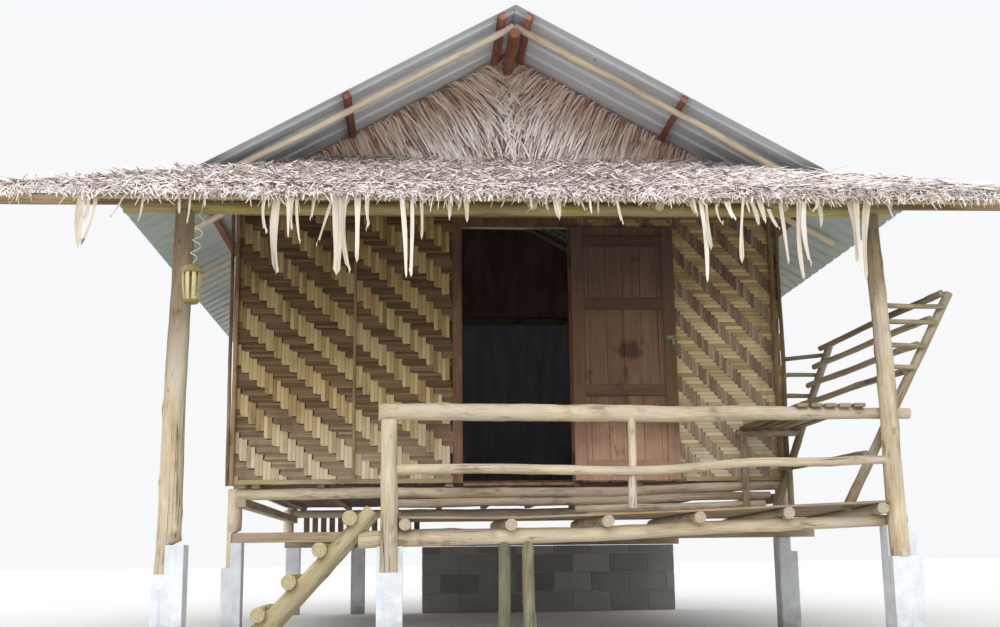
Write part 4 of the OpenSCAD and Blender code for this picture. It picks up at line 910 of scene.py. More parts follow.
class HOUSE_OT_sawn(HouseOperator):
    """Makes the sawn timber: purlins, bearers, beams, joists, floor and door frame"""
    bl_idname = "house.sawn"
    bl_label = "Sawn Timber"
    seed = 71
    planks = 28

    def build(self, scene, rng):
        for name, nodes, finish, slot, axis, bevel in (
            ("purlin_timbers", ["purlins"], "rust red purlin", "sawn_timber", "y", 0.003),
            ("bearer_timbers", ["bearers"], "weathered sawn timber", "sawn_timber", "x", 0.004),
            ("side_beam_timbers", ["side_beams"], "weathered sawn timber", "sawn_timber", "y", 0.004),
            ("door_frame_timbers", ["door_frame", "door_header"], "door frame wood", "sawn_timber", "z",
             0.002),
            ("floor_joist_timbers", ["floor_joists"], "old grey wood", "dark_logs", "y", 0.002),
            ("rear_skirt_slats", ["rear_skirt"], "old grey wood", "dark_logs", "z", 0.002),
        ):
            dressed(name, nodes, timber(finish), slot, axis, bevel)
        solid = Solid()
        low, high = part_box("floor_boards")
        width = (high.x - low.x) / self.planks
        for k in range(self.planks):
            x = low.x + k * width
            board(solid, rng, (x + 0.001, low.y, low.z), (x + width - 0.001, high.y, high.z), "y")
        solid.piece("floor_board_planks", [timber("floor planks")], "floor_boards", ["floor_boards"])


def dressed(name, nodes, finish, slot, axis, bevel, shape=None):
    """A copy of straight-edged CAD nodes with its doubles merged and its edges worn round."""
    mesh = bpy.data.meshes.new(name)
    work = bmesh.new()
    for node in nodes:
        work.from_mesh(NODES[node].data)
    bmesh.ops.remove_doubles(work, verts=work.verts, dist=2e-5)
    bmesh.ops.dissolve_limit(work, angle_limit=0.02, verts=work.verts, edges=work.edges)
    if shape:
        for point in work.verts:
            shape(point.co)
    work.to_mesh(mesh)
    work.free()
    mesh.materials.clear()
    mesh.materials.append(finish)
    mesh.polygons.foreach_set("material_index", [0] * len(mesh.polygons))
    piece = placed(name, mesh)
    worn = piece.modifiers.new("worn edges", "BEVEL")
    worn.width, worn.segments, worn.limit_method = bevel, 2, "ANGLE"
    worn.angle_limit = math.radians(35)
    bake(piece)
    grain_from_place(piece.data, axis)
    return settle(piece, slot, nodes)


def bake(piece):
    """Turns the evaluated object into a plain mesh and drops its modifiers."""
    graph = bpy.context.evaluated_depsgraph_get()
    mesh = bpy.data.meshes.new_from_object(piece.evaluated_get(graph))
    piece.modifiers.clear()
    old, piece.data = piece.data, mesh
    mesh.name = piece.name
    bpy.data.meshes.remove(old)


def grain_from_place(mesh, axis):
    """Gives each loose part of a mesh its own grain coordinates and tone."""
    points = points_of(mesh)
    edges = np.zeros(len(mesh.edges) * 2, np.int32)
    mesh.edges.foreach_get("vertices", edges)
    edges = edges.reshape(-1, 2)
    group, last = np.arange(len(points)), None
    while last is None or (group != last).any():
        last = group
        least = np.minimum(group[edges[:, 0]], group[edges[:, 1]])
        group = last.copy()
        np.minimum.at(group, edges[:, 0], least)
        np.minimum.at(group, edges[:, 1], least)
        group = group[group]
    rng = np.random.default_rng(7)
    grain = points[:, GRAIN_ORDER[axis]].copy()
    tone = np.zeros(len(points), np.float32)
    for g in np.unique(group):
        here = group == g
        grain[here, 2] += rng.uniform(0, GRAIN_SHIFT)
        tone[here] = rng.uniform(0.2, 0.8)
    keep(mesh, "grain", grain)
    keep(mesh, "tone", tone)


# Geometry trees

def new_tree(name, sockets):
    """A geometry tree with named inputs, and its sockets by name."""
    tree = bpy.data.node_groups.new(name, "GeometryNodeTree")
    tree.is_modifier = True
    tree.interface.new_socket("Geometry", in_out="INPUT", socket_type="NodeSocketGeometry")
    for label, (kind, default) in sockets.items():
        socket = tree.interface.new_socket(label, in_out="INPUT", socket_type="NodeSocket" + kind)
        if default is not None:
            socket.default_value = default
    tree.interface.new_socket("Geometry", in_out="OUTPUT", socket_type="NodeSocketGeometry")
    start = tree.nodes.new("NodeGroupInput")
    end = tree.nodes.new("NodeGroupOutput")
    return tree, {s.name: Wire(tree, s) for s in start.outputs if s.name}, end.inputs[0]


def grow(name, tree, values, points=None):
    """Runs a geometry tree on a fresh object and keeps the result as a plain mesh."""
    piece = placed(name, points or bpy.data.meshes.new(name))
    modifier = piece.modifiers.new("build", "NODES")
    modifier.node_group = tree
    for item in tree.interface.items_tree:
        if item.in_out == "INPUT" and item.name in values:
            modifier[item.identifier] = values[item.name]
    bake(piece)
    return piece


def live(node):
    """The output that is switched on, of a node that has one for each kind of value."""
    return Wire(node.id_data, next(output for output in node.outputs if output.enabled))


def chance(tree, low, high, seed):
    """A random number for each point."""
    return live(add(tree, "FunctionNodeRandomValue", {"Min": low, "Max": high, "Seed": seed}))


def carried(tree, name, kind="FLOAT"):
    """A value that the points carry under a name."""
    return live(add(tree, "GeometryNodeInputNamedAttribute", {"Name": name}, data_type=kind))


def store(tree, geometry, name, value, kind="FLOAT"):
    """The geometry with a value on each point, under a name."""
    return add(tree, "GeometryNodeStoreNamedAttribute", {"Geometry": geometry, "Name": name, "Value": value},
               data_type=kind, domain="POINT").outputs[0]


def vector(tree, **parts):
    """Three numbers as one place."""
    return add(tree, "ShaderNodeCombineXYZ", parts).outputs[0]


def parts_of_place(tree):
    """X, Y and Z of where each point is."""
    place = add(tree, "GeometryNodeInputPosition").outputs[0]
    return [Wire(tree, part) for part in add(tree, "ShaderNodeSeparateXYZ", {"Vector": place}).outputs]


def moved(tree, geometry, **how):
    """The geometry with its points set to a Position, or shifted by an Offset."""
    return add(tree, "GeometryNodeSetPosition", {"Geometry": geometry, **how}).outputs[0]


def copied(tree, points, form, turn, size):
    """A real copy of a form on each point."""
    copies = add(tree, "GeometryNodeInstanceOnPoints", {
        "Points": points, "Instance": form, "Rotation": turn, "Scale": size})
    return add(tree, "GeometryNodeRealizeInstances", {"Geometry": copies.outputs[0]}).outputs[0]


def coated(tree, geometry, material, out):
    """Ends a tree with smooth faces in the given material."""
    smooth = add(tree, "GeometryNodeSetShadeSmooth", {"Geometry": geometry, "Shade Smooth": True})
    coat = add(tree, "GeometryNodeSetMaterial", {"Geometry": smooth.outputs[0], "Material": material})
    tree.links.new(coat.outputs[0], out)
    return tree


# Woven walls

def strips_tree(upright):
    """Floats of a twill: where a strip passes over, it shows as an arched tongue."""
    tree, given, out = new_tree("woven strips upright" if upright else "woven strips level", {
        "Along": ("Float", 2.0), "Across": ("Float", 1.0), "Strip": ("Float", 0.03), "Group": ("Float", 0.06),
        "Step": ("Float", 0.055), "Over": ("Int", 3), "Under": ("Int", 3), "Phase": ("Float", 0.0),
        "Relief": ("Float", 0.004), "Seed": ("Int", 1), "Material": ("Material", None)})
    reach = given["Step"] * given["Over"]
    period = reach + given["Step"] * given["Under"]
    count = (given["Across"] / given["Strip"]).floor() + 1.0
    turns = (given["Along"] / period).floor() + 3.0
    grid = add(tree, "GeometryNodeMeshGrid", {"Vertices X": count, "Vertices Y": turns})
    index = Wire(tree, add(tree, "GeometryNodeInputIndex").outputs[0])
    strip = (index / turns + 0.0001).floor()
    turn = index - strip * turns
    across = (strip + 0.5) * given["Strip"]
    group = (across / given["Group"]).floor()
    start = (turn - 1.0) * period - (group * given["Step"] + given["Phase"]) % period
    if not upright:
        start = start + given["Step"] * given["Under"]
    start = start + chance(tree, -0.0035, 0.0035, given["Seed"])
    low = start.high(0.001)
    high = (start + reach).low(given["Along"] - 0.001)
    long = high - low
    middle = (low + high) * 0.5
    place = vector(tree, X=across, Z=middle) if upright else vector(tree, X=middle, Z=across)
    outside = (across + given["Strip"] * 0.5).over(given["Across"] + 0.002)
    points = moved(tree, grid.outputs["Mesh"], Position=place)
    points = store(tree, points, "tone", chance(tree, 0.0, 1.0, given["Seed"] + 7.0))
    size = vector(tree, X=given["Strip"] * 0.95, Y=1.0, Z=long + 0.006)
    points = store(tree, points, "reach", size, "FLOAT_VECTOR")
    points = store(tree, points, "drop", (long * -1.0 + 0.012).over(0.0) + outside)
    dropped = add(tree, "FunctionNodeCompare", {"A": carried(tree, "drop"), "B": 0.5},
                  operation="GREATER_THAN")
    points = add(tree, "GeometryNodeDeleteGeometry", {"Geometry": points, "Selection": dropped.outputs[0]},
                 domain="POINT").outputs[0]
    tongue = add(tree, "GeometryNodeMeshGrid", {
        "Size X": 1.0, "Size Y": 1.0, "Vertices X": 4, "Vertices Y": 7})
    x, z, _ = parts_of_place(tree)
    arch = (x * 2.0).power(2.0) * 0.0014
    dip = (z * 2.0).size().power(5.0)
    y = arch + dip * given["Relief"] - given["Relief"]
    tongue = moved(tree, tongue.outputs["Mesh"], Position=vector(tree, X=x, Y=y, Z=z))
    turned_over = (0.0, 0.0 if upright else math.pi / 2, 0.0)
    strips = copied(tree, points, tongue, turned_over, carried(tree, "reach", "FLOAT_VECTOR"))
    x, y, z = parts_of_place(tree)
    y = y + carried(tree, "tone") * 31.0
    grain = vector(tree, X=x, Y=y, Z=z) if upright else vector(tree, X=z, Y=y, Z=x)
    return coated(tree, store(tree, strips, "grain", grain, "FLOAT_VECTOR"), given["Material"], out)


def strip_finish(name, painted_shade_heights, dark, mid, pale, low_dark, low_pale):
    """Split bamboo: fine fibres, a tone of its own for each strip, bleached near the floor, and painted shade
    of the roof high up.
    """
    f = Finish(name)
    fine = f.noise(f.grain((1, 1, 0.03)), 260.0, 4.0, 0.6)
    slow = f.noise(f.grain((1, 1, 0.3)), 14.0, 3.0, 0.6)
    tone = f.value("tone")
    level = fine * 0.35 + slow * 0.25 + tone * 0.4
    high = f.part(f.spot(), "Z")
    spread = f.noise(f.spot(), 1.7, 3.0, 0.6)
    open_side = f.part(f.spot(), "X").between(0.6, 1.3, 0.0, -0.34)
    worn = (high + spread * 0.7 + open_side).between(1.35, 2.15, 1.0, 0.0)
    above = f.ramp(level, (0.25, dark), (0.5, mid), (0.75, pale))
    below = f.ramp(level, (0.25, low_dark), (0.75, low_pale))
    colour = f.mix(worn, above, below)
    stain = f.noise(f.spot((1.4, 1.4, 0.5)), 3.5, 4.0, 0.65).between(0.5, 0.72)
    colour = f.mix(stain * 0.35, colour, tint(70, 52, 40))
    # Painted shade of the porch roof over the upper wall
    colour = f.mix((high + spread * 0.3).between(*painted_shade_heights), colour, PAINTED_ROOF_SHADE, "MULTIPLY")
    return f.done(colour, fine * 0.2 + 0.45, fine, 0.0012, 0.5)


class HOUSE_OT_walls(HouseOperator):
    """Weaves the bamboo walls"""
    bl_idname = "house.walls"
    bl_label = "Woven Walls"
    seed = 83
    seam = -1.190
    # The canes of the corners: place across of foot and head, and thickness
    corner_canes = ((-2088, -2082, 0.035), (-2116, -2128, 0.028), (2058, 2052, 0.044), (2102, 2112, 0.035))

    def weaves(self, s):
        """Sizes of the upright and of the level strips, and their finishes, for each kind of weave."""
        # Each finish: the heights of its painted roof shade, then its colours high up and near the floor
        light = strip_finish("pale cane strips", (1.75, 2.95), tint(148, 118, 66), tuple(s.pale),
                             tint(226, 204, 152), tint(198, 176, 140), tint(246, 232, 206))
        brown = strip_finish("dark cane strips", (1.75, 2.95), tint(80, 60, 40), tuple(s.dark),
                             tint(152, 126, 94), tint(140, 116, 92), tint(194, 170, 142))
        straw = strip_finish("straw cane strips", (2.30, 3.00), tint(176, 146, 96), tint(226, 198, 144),
                             tint(246, 224, 176), tint(200, 176, 136), tint(246, 234, 202))
        plum = strip_finish("plum cane strips", (2.30, 3.00), tint(120, 96, 82), tint(168, 142, 122),
                            tint(200, 176, 152), tint(164, 138, 118), tint(208, 184, 158))
        return {
            "coarse": (
                {"Strip": s.group_width / 2, "Group": s.group_width, "Step": s.row_height, "Material": light},
                {"Strip": s.row_height / 3, "Group": s.row_height, "Step": s.group_width, "Material": brown}),
            "fine": (
                {"Strip": s.fine_upright, "Group": s.fine_upright, "Step": s.fine_level, "Over": 4,
                 "Under": 5, "Material": plum},
                {"Strip": s.fine_level, "Group": s.fine_level, "Step": s.fine_upright, "Over": 5,
                 "Under": 4, "Material": straw}),
        }

    def walls(self):
        """Each wall with its weave and lining, and each panel's foot, turn, width, phase and seed."""
        left, right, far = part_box("front_wall_left"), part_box("front_wall_right"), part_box("rear_wall")
        # The front walls get the dark lining, painted shade behind the weave; the others get the pale one,
        # painted light inside the room
        edge, inside = left[0].x, "pale lining in painted light"
        yield "front_wall_left", "coarse", "wall lining", (
            (edge, WALL_Y, 0, self.seam - edge, 0.10, 3),
            (self.seam, WALL_Y, 0, left[1].x - self.seam, 0.27, 9))
        yield "front_wall_right", "fine", "wall lining", (
            (right[0].x, WALL_Y, 0, right[1].x - right[0].x, 0.05, 15),)
        yield "rear_wall", "coarse", inside, (
            (far[1].x, far[1].y, math.pi, far[1].x - far[0].x, 0.0, 21),)
        for name, x, y, turn, seed in (("left_wall", far[0].x, far[0].y, -math.pi / 2, 27),
                                       ("right_wall", far[1].x, WALL_Y + 0.02, math.pi / 2, 33)):
            low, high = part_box(name)
            yield name, "coarse", inside, ((x, y, turn, high.y - low.y, 0.15, seed),)

    def build(self, scene, rng):
        s = scene.house_weave
        trees = strips_tree(True), strips_tree(False)
        weaves = self.weaves(s)
        foot, head = (corner.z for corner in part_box("front_wall_left"))
        for name, kind, lining, panels in self.walls():
            upright, strips = weaves[kind][0], []
            for x, y, turn, width, phase, seed in panels:
                level_phase = phase / upright["Step"] * upright["Group"]
                for k, (along, across, shift) in enumerate((
                        (head - foot, width, phase), (width, head - foot, level_phase))):
                    part = grow(name + "_strips", trees[k], {
                        **weaves[kind][k], "Along": along, "Across": across, "Phase": shift,
                        "Relief": s.relief, "Seed": seed + k})
                    stand(part.data, x, y, foot, turn)
                    strips.append(part)
            lined(name, strips, timber(lining))
        logs(rng, "corner_poles", timber("thin brown poles"), "bamboo_poles", (), [
            ((low, -24, 1100), (top, -24, 3215), thick, thick * 0.92) for low, top, thick in self.corner_canes
        ], knots=6, wobble=0.006, lumps=0.06, sides=12, step=0.05)
        solid = Solid()
        for x0, x1 in ((-2076, -453), (1316, 2076)):
            board(solid, rng, at(x0, -14, 1110), at(x1, 0, 1144), "x", wear=0.004)
        solid.piece("wall_batten_strips", [timber("bamboo cane")], "bamboo_poles", ["wall_battens"])
        logs(rng, "wall_seam_cane", timber("thin brown poles"), "bamboo_poles", (), (
            ((-1190, -9, 1112), (-1190, -9, 3172), 0.026, 0.022),
        ), knots=6, wobble=0.003, lumps=0.04, sides=12, step=0.06)


def stand(mesh, x, y, z, turn):
    """Moves a panel from its own plane to its wall."""
    p = points_of(mesh).astype(float)
    c, n = math.cos(turn), math.sin(turn)
    move(mesh, np.stack([x + p[:, 0] * c - p[:, 1] * n, y + p[:, 0] * n + p[:, 1] * c, p[:, 2] + z], -1))


def lined(node, strips, lining):
    """Joins the strips of a wall with a board behind them."""
    for part in strips:
        for name in ("drop", "reach"):
            part.data.attributes.remove(part.data.attributes[name])
    solid = Solid()
    low, high = (np.array(corner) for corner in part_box(node))
    inset = np.array((0.004, 0.004, 0))
    board(solid, np.random.default_rng(3), low + inset, high - inset, "z", 0.5, 0.001)
    wall = solid.piece(node + "_weave_lining", [lining], "bamboo_weave")
    with bpy.context.temp_override(active_object=wall, selected_editable_objects=[wall, *strips],
                                   selected_objects=[wall, *strips]):
        bpy.ops.object.join()
    wall.name = node + "_weave"
    settle(wall, "bamboo_weave", [node])


# Thatch

def blades_tree():
    """Palm leaflets on given points, each turned, sized and curled."""
    tree, given, out = new_tree("palm leaflets", {
        "Curl": ("Float", 0.05), "Fold": ("Float", 0.35), "Rows": ("Int", 6), "Seed": ("Int", 4),
        "Material": ("Material", None)})
    leaf = add(tree, "GeometryNodeMeshGrid", {
        "Size X": 1.0, "Size Y": 1.0, "Vertices X": 3, "Vertices Y": given["Rows"]})
    x, along, _ = parts_of_place(tree)
    along = along * -1.0 + 0.5
    wide = (along * 1.25).power(0.6) * (along * -0.86 + 1.0) * 1.3 + 0.12
    leaf = moved(tree, leaf.outputs["Mesh"], Position=vector(
        tree, X=x * wide, Y=x.size() * given["Fold"] * wide, Z=along * -1.0))
    leaves = copied(tree, given["Geometry"], store(tree, leaf, "tip", along),
                    carried(tree, "turn", "FLOAT_VECTOR"), carried(tree, "size", "FLOAT_VECTOR"))
    tip, tone = carried(tree, "tip"), carried(tree, "tone")
    place = add(tree, "GeometryNodeInputPosition").outputs[0]
    joined = vector_math(tree, "ADD", place, vector(tree, X=tone * 57.0, Y=tone * 23.0, Z=given["Seed"]))
    bend = add(tree, "ShaderNodeTexNoise", {"Vector": joined, "Scale": 3.0, "Detail": 1.0})
    centred = vector_math(tree, "SUBTRACT", bend.outputs["Color"], (0.5, 0.5, 0.5))
    offset = vector_math(tree, "SCALE", centred, scale=tip.power(1.5) * given["Curl"] * 2.0)
    return coated(tree, moved(tree, leaves, Offset=offset), given["Material"], out)


def vector_math(tree, operation, first, second=None, scale=None):
    node = tree.nodes.new("ShaderNodeVectorMath")
    node.operation = operation
    feed(tree, node.inputs[0], first)
    if second is not None:
        feed(tree, node.inputs[1], second)
    if scale is not None:
        feed(tree, node.inputs["Scale"], scale)
    return node.outputs[0]


def leaf_finish(name, dark, mid, pale, tip_pale=0.3, eaves=None, lighter=0.02):
    """Dry palm leaf: ribs along the blade, a tone for each leaflet, painted shade at its root where other
    leaves cover it, and another colour close under the roof sheets."""
    f = Finish(name)
    tone, tip = f.value("tone"), f.value("tip")
    place = f.spot()
    fine = f.noise(place, 60.0, 4.0, 0.7)
    broad = f.noise(place, 2.6, 3.0, 0.6)
    level = tone * 0.66 + fine * 0.22 + tip * 0.10 + (broad - 0.5) * 0.5 + lighter
    colour = f.ramp(level, (0.18, dark), (0.45, mid), (0.8, pale))
    if eaves:
        below = f.part(place, "X").size() * -math.tan(ROOF_PITCH) - f.part(place, "Z") + RIDGE_Z
        near = (below + (broad - 0.5) * 0.5).between(0.10, 0.62, 1.0, 0.0)
        warm = f.ramp(level, (0.18, eaves[0]), (0.45, eaves[1]), (0.8, eaves[2]))
        colour = f.mix(near, colour, warm)
    # Painted shade at the root, where the leaves above cover it
    colour = f.mix(tip.between(0.0, 0.25, 0.4, 0.0), colour, dark)
    colour = f.mix(tip.between(0.8, 1.0, 0.0, tip_pale), colour, pale)
    return f.done(colour, 0.72, fine, 0.002, 0.4, specular=0.25)


def leaf_points(name, rows):
    """A mesh of bare points that carry the turn, size and tone of their leaflets."""
    rows = np.array(rows, np.float32)
    mesh = bpy.data.meshes.new(name)
    mesh.from_pydata(rows[:, 0:3].tolist(), [], [])
    for label, part in (("turn", rows[:, 3:6]), ("size", rows[:, 6:9]), ("tone", rows[:, 9])):
        keep(mesh, label, part)
    return mesh


def turned(down, face):
    """The turn that lays a leaflet's length along down and its back towards face."""
    z = -Vector(down).normalized()
    y = -Vector(face)
    y = (y - z * y.dot(z)).normalized()
    x = y.cross(z)
    return tuple(Matrix((x, y, z)).transposed().to_euler())


def leaflets(name, finish, curl, fold, seed, rows):
    """Grows one leaflet for each row of place, turn, size and tone."""
    return grow(name, once("leaflet tree", blades_tree), {
        "Curl": curl, "Fold": fold, "Rows": 4, "Seed": seed, "Material": finish}, leaf_points(name, rows))


class HOUSE_OT_gable_thatch(HouseOperator):
    """Lays the palm leaflets of the two gables"""
    bl_idname = "house.gable_thatch"
    bl_label = "Gable Thatch"
    # Half the width of a gable, its courses and the step between them, and the furthest lean in degrees
    half, courses, gap, furthest = 2.08, 18, 0.070, 60.0
    # Space between leaflets, and between those of the two uppermost courses
    space, top_space = 0.0145, 0.010

    def rows(self, s, rng, facing, face, foot):
        """Leaflets in courses from the foot up, with tips that turn to the middle of the gable."""
        for course in range(self.courses, -1, -1):
            for x in np.arange(-self.half, self.half, self.space if course > 1 else self.top_space):
                x = x + rng.uniform(-0.006, 0.006)
                below = -0.080 + self.gap * course / math.cos(ROOF_PITCH) + rng.uniform(-0.03, 0.03)
                z = RIDGE_Z - 0.03 - abs(x) * math.tan(ROOF_PITCH) - below
                if z < foot + 0.05:
                    continue
                far = min(1.0, abs(x) / 0.9)
                upper = float(np.clip((z - foot - 0.25) / 0.45, 0, 1))
                fan = (18 + 24 * math.exp(-(x / 0.75) ** 2)) * max(upper, far ** 0.8)
                fan *= min(1.0, abs(x) / 0.10 + 0.25)
                lean = -math.copysign(fan + (5 if x < 0 else 0), x)
                lean += rng.normal(0, 5.5 + 13 * math.exp(-(x / 0.17) ** 2))
                lean = math.radians(max(-self.furthest, min(self.furthest, lean)))
                reach = s.gable_blade * rng.uniform(0.6, 1.2) * (1 - 0.35 * math.exp(-(x / 0.22) ** 2))
                reach = min(reach, (z - foot + 0.06) / math.cos(lean))
                lift = rng.uniform(0.02, 0.20) * (1.3 if abs(x) < 0.9 else 0.8)
                out = face + facing * rng.uniform(0.0, 0.008)
                down = (math.sin(lean), facing * lift, -math.cos(lean))
                turn = turned(down, (rng.normal(0, 0.4), facing, 0))
                tone = rng.beta(0.9, 0.8)
                yield x, out, z, *turn, s.blade_width * rng.uniform(0.55, 1.1), s.blade_width, reach, tone

    def build(self, scene, rng):
        finish = leaf_finish(
            "gable palm leaf", tint(104, 82, 74), tint(244, 224, 214), tint(255, 252, 250),
            eaves=(tint(100, 72, 58), tint(222, 184, 162), tint(250, 228, 214)), lighter=0.10)
        for end, facing, seed in (("front", -1, 101), ("rear", 1, 102)):
            node, name = f"gable_thatch_{end}", f"{end}_gable_leaves"
            low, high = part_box(node)
            face, foot = (low.y, 3.57) if facing < 0 else (high.y, low.z + 0.002)
            rows = list(self.rows(scene.house_thatch, np.random.default_rng(seed), facing, face, foot))
            piece = leaflets(name, finish, 0.016, 0.35, 4, rows)
            under_roof(piece.data)
            dressed(name + "_bed", [node], timber("gable thatch depth"), "palm_thatch", "z", 0.002)
            settle(piece, "palm_thatch", [node])


def under_roof(mesh):
    """Presses leaflets down where they would stand out of the roof sheets."""
    points = points_of(mesh)
    roof = RIDGE_Z - 0.012 - np.abs(points[:, 0]) * math.tan(ROOF_PITCH)
    points[:, 2] = np.minimum(points[:, 2], roof)
    move(mesh, points)


def porch_top(y):
    """Height of the upper side of the porch thatch at a place in front of the wall, in metres."""
    return 3.5508 + 0.080 / math.cos(THATCH_PITCH) + (y + 0.005) * math.tan(THATCH_PITCH)


def porch_half(y):
    """Half length of the porch thatch at a place in front of the wall."""
    return float(np.interp(y, (-2.0, -1.8, -0.91, 0.0), (3.26, 2.94, 2.30, 2.30)))


class HOUSE_OT_porch_thatch(HouseOperator):
    """Lays the ragged palm thatch of the porch, with its fringe and hanging strips"""
    bl_idname = "house.porch_thatch"
    bl_label = "Porch Thatch"
    scraps, facing, fringe = 10500, 3600, 2100
    eave_y, eave_half = -2.0, 3.25
    seed = 211
    # Hanging strips: where each starts and ends across and in height, and its two widths, in millimetres
    strips = (
        (-2747, 2723, -2754, 2399, 73, 18), (-2677, 2748, -2738, 2423, 30, 12),
        (-2712, 2742, -2727, 2573, 36, 18), (-2492, 2731, -2581, 2605, 18, 12),
        (-2390, 2725, -2413, 2575, 15, 9), (-2402, 2738, -2359, 2694, 30, 18),
        (-2283, 2751, -2275, 2688, 18, 12), (-2175, 2752, -2169, 2633, 24, 12),
        (-2102, 2702, -2117, 2564, 15, 9), (-2019, 2741, -2017, 2671, 18, 12),
        (-1864, 2793, -1862, 2736, 18, 12), (-1645, 2731, -1642, 2510, 24, 18),
        (-1620, 2731, -1522, 2681, 15, 12), (-1580, 2706, -1576, 2261, 55, 37),
        (-1511, 2707, -1506, 2480, 24, 12), (-1489, 2682, -1486, 2530, 24, 12),
        (-1462, 2669, -1433, 2436, 21, 9), (-1355, 2702, -1375, 2588, 24, 12),
        (-1243, 2683, -1333, 2431, 21, 12), (-1220, 2735, -1213, 2256, 68, 55),
        (-1171, 2722, -1135, 2263, 55, 18), (-1089, 2716, -1091, 2338, 43, 18),
        (-1024, 2711, -1017, 2558, 31, 12), (-1042, 2634, -1034, 2520, 15, 9),
        (-828, 2770, -790, 2239, 37, 18),
        (-754, 2674, -762, 2245, 25, 21), (-748, 2777, -730, 2674, 25, 12), (-701, 2732, -695, 2472, 25, 15),
        (-650, 2739, -647, 2675, 19, 9), (-526, 2740, -524, 2599, 31, 15), (-502, 2772, -508, 2676, 25, 12),
        (-477, 2772, -465, 2664, 25, 12), (-440, 2766, -453, 2689, 25, 12), (-415, 2766, -414, 2587, 56, 15),
        (-365, 2767, -360, 2722, 19, 12), (-170, 2807, -171, 2736, 16, 9), (-12, 2744, -9, 2680, 19, 12),
        (44, 2738, 56, 2687, 25, 12), (88, 2738, 93, 2668, 25, 12), (138, 2758, 160, 2604, 81, 12),
        (263, 2746, 281, 2695, 37, 12), (301, 2746, 336, 2644, 25, 12), (351, 2747, 361, 2644, 19, 9),
        (404, 2721, 402, 2631, 16, 9), (514, 2735, 553, 2574, 25, 12), (791, 2731, 815, 2699, 31, 12),
        (892, 2732, 916, 2699, 31, 13), (974, 2726, 1027, 2635, 31, 13), (1054, 2687, 1074, 2214, 38, 19),
        (1085, 2662, 1103, 2417, 19, 28), (1004, 2700, 1027, 2635, 25, 13), (1155, 2662, 1186, 2578, 19, 9),
        (1219, 2676, 1273, 2611, 44, 19), (1321, 2689, 1295, 2335, 19, 28), (1367, 2703, 1418, 2586, 38, 19),
        (1412, 2716, 1456, 2587, 44, 19), (1335, 2715, 1364, 2651, 31, 13), (1484, 2632, 1543, 2548, 31, 13),
        (1563, 2672, 1594, 2330, 28, 16), (1685, 2685, 1688, 2241, 38, 19), (1717, 2679, 1726, 2305, 38, 16),
        (1795, 2706, 1815, 2563, 44, 9), (1765, 2745, 1767, 2667, 25, 13), (2013, 2694, 2028, 2345, 44, 19),
        (2045, 2695, 2048, 2268, 44, 19), (2131, 2715, 2090, 2230, 51, 19), (2245, 2683, 2279, 2618, 16, 9),
    )
    # Rods along the head of the thatch, as places across and heights
    head_rods = (((-1397, 3647), (-1009, 3651), (-564, 3626), (-329, 3641), (-30, 3592)),
                 ((104, 3590), (286, 3610), (461, 3612), (643, 3595)))

    def on_top(self, s, rng):
        """Scraps of leaf all over the upper side, denser towards the eave."""
        pitch = math.tan(THATCH_PITCH)
        for _ in range(self.scraps):
            y = self.eave_y + 2.0 * rng.uniform(0, 1) ** 1.25
            x = rng.uniform(-1, 1) * porch_half(y)
            z = porch_top(y) - 0.016
            if y > -0.93 and z > RIDGE_Z - 0.075 - abs(x) * math.tan(ROOF_PITCH) - 0.05:
                continue
            sideways = float(np.clip((x - 0.6) / 1.2, 0, 1))
            yaw = rng.normal(0, 1.0) + sideways * rng.choice((-1.2, 1.2))
            lift = rng.uniform(-0.05, 0.50) * (1 - 0.6 * sideways)
            reach = s.porch_blade * rng.uniform(0.5, 1.3) * (1 + 0.9 * sideways)
            down = (math.sin(yaw), -math.cos(yaw), -pitch * math.cos(yaw) + lift)
            turn = turned(down, (rng.normal(0, 0.7), -pitch, 1))
            wide = s.scrap_width * rng.uniform(0.6, 1.35)
            above = rng.uniform(0, 0.028)
            tone = rng.beta(1.5, 0.85) * (1 - 0.26 * math.exp(-(x / 1.5) ** 2))
            yield x, y + WALL_Y, z + above, *turn, wide, wide, reach, tone

    def on_face(self, s, rng):
        """Scraps that stand out of the face of the eave."""
        for _ in range(self.facing):
            x = rng.uniform(-1, 1) * self.eave_half
            down = (rng.normal(0, 1.0), -rng.uniform(0.05, 0.35), -rng.uniform(-0.1, 0.9))
            turn = turned(down, (rng.normal(0, 0.6), -1, 0.5))
            wide = s.scrap_width * rng.uniform(0.5, 1.0)
            y = self.eave_y + WALL_Y + rng.uniform(-0.006, 0.014)
            z = porch_top(self.eave_y) - rng.uniform(-0.012, 0.062)
            yield x, y, z, *turn, wide, wide, s.porch_blade * rng.uniform(0.35, 0.8), rng.beta(1.3, 0.95)

    def along_eave(self, s, rng):
        """Tips that hang under the eave, longer where they gather in tufts."""
        for _ in range(self.fringe):
            x = rng.uniform(-1, 1) * (self.eave_half - 0.01)
            y = self.eave_y + rng.uniform(-0.004, 0.07)
            z = porch_top(y) - rng.uniform(0.0, 0.060)
            tuft = 0.5 + 0.5 * math.sin(5.1 * x + 1.3) * math.sin(12.7 * x)
            reach = 0.040 + abs(rng.normal(0, 0.028)) + 0.08 * tuft * rng.uniform(0, 1) ** 3
            yaw = rng.normal(0, 0.9)
            down = (math.sin(yaw), -rng.uniform(-0.1, 0.45), -abs(math.cos(yaw)) - 0.15)
            turn = turned(down, (rng.normal(0, 0.8), -1, 0.3))
            wide = s.scrap_width * rng.uniform(0.35, 0.85)
            yield x, y + WALL_Y, z, *turn, wide, wide, reach, rng.beta(1.6, 1.0)

    def thin_eave(self, point):
        """The bed is half as thick at the eave, where the fringe hides its edge."""
        if point.y < WALL_Y + self.eave_y + 0.02 and point.z < 2.80:
            point.z += 0.045
            point.y += 0.012

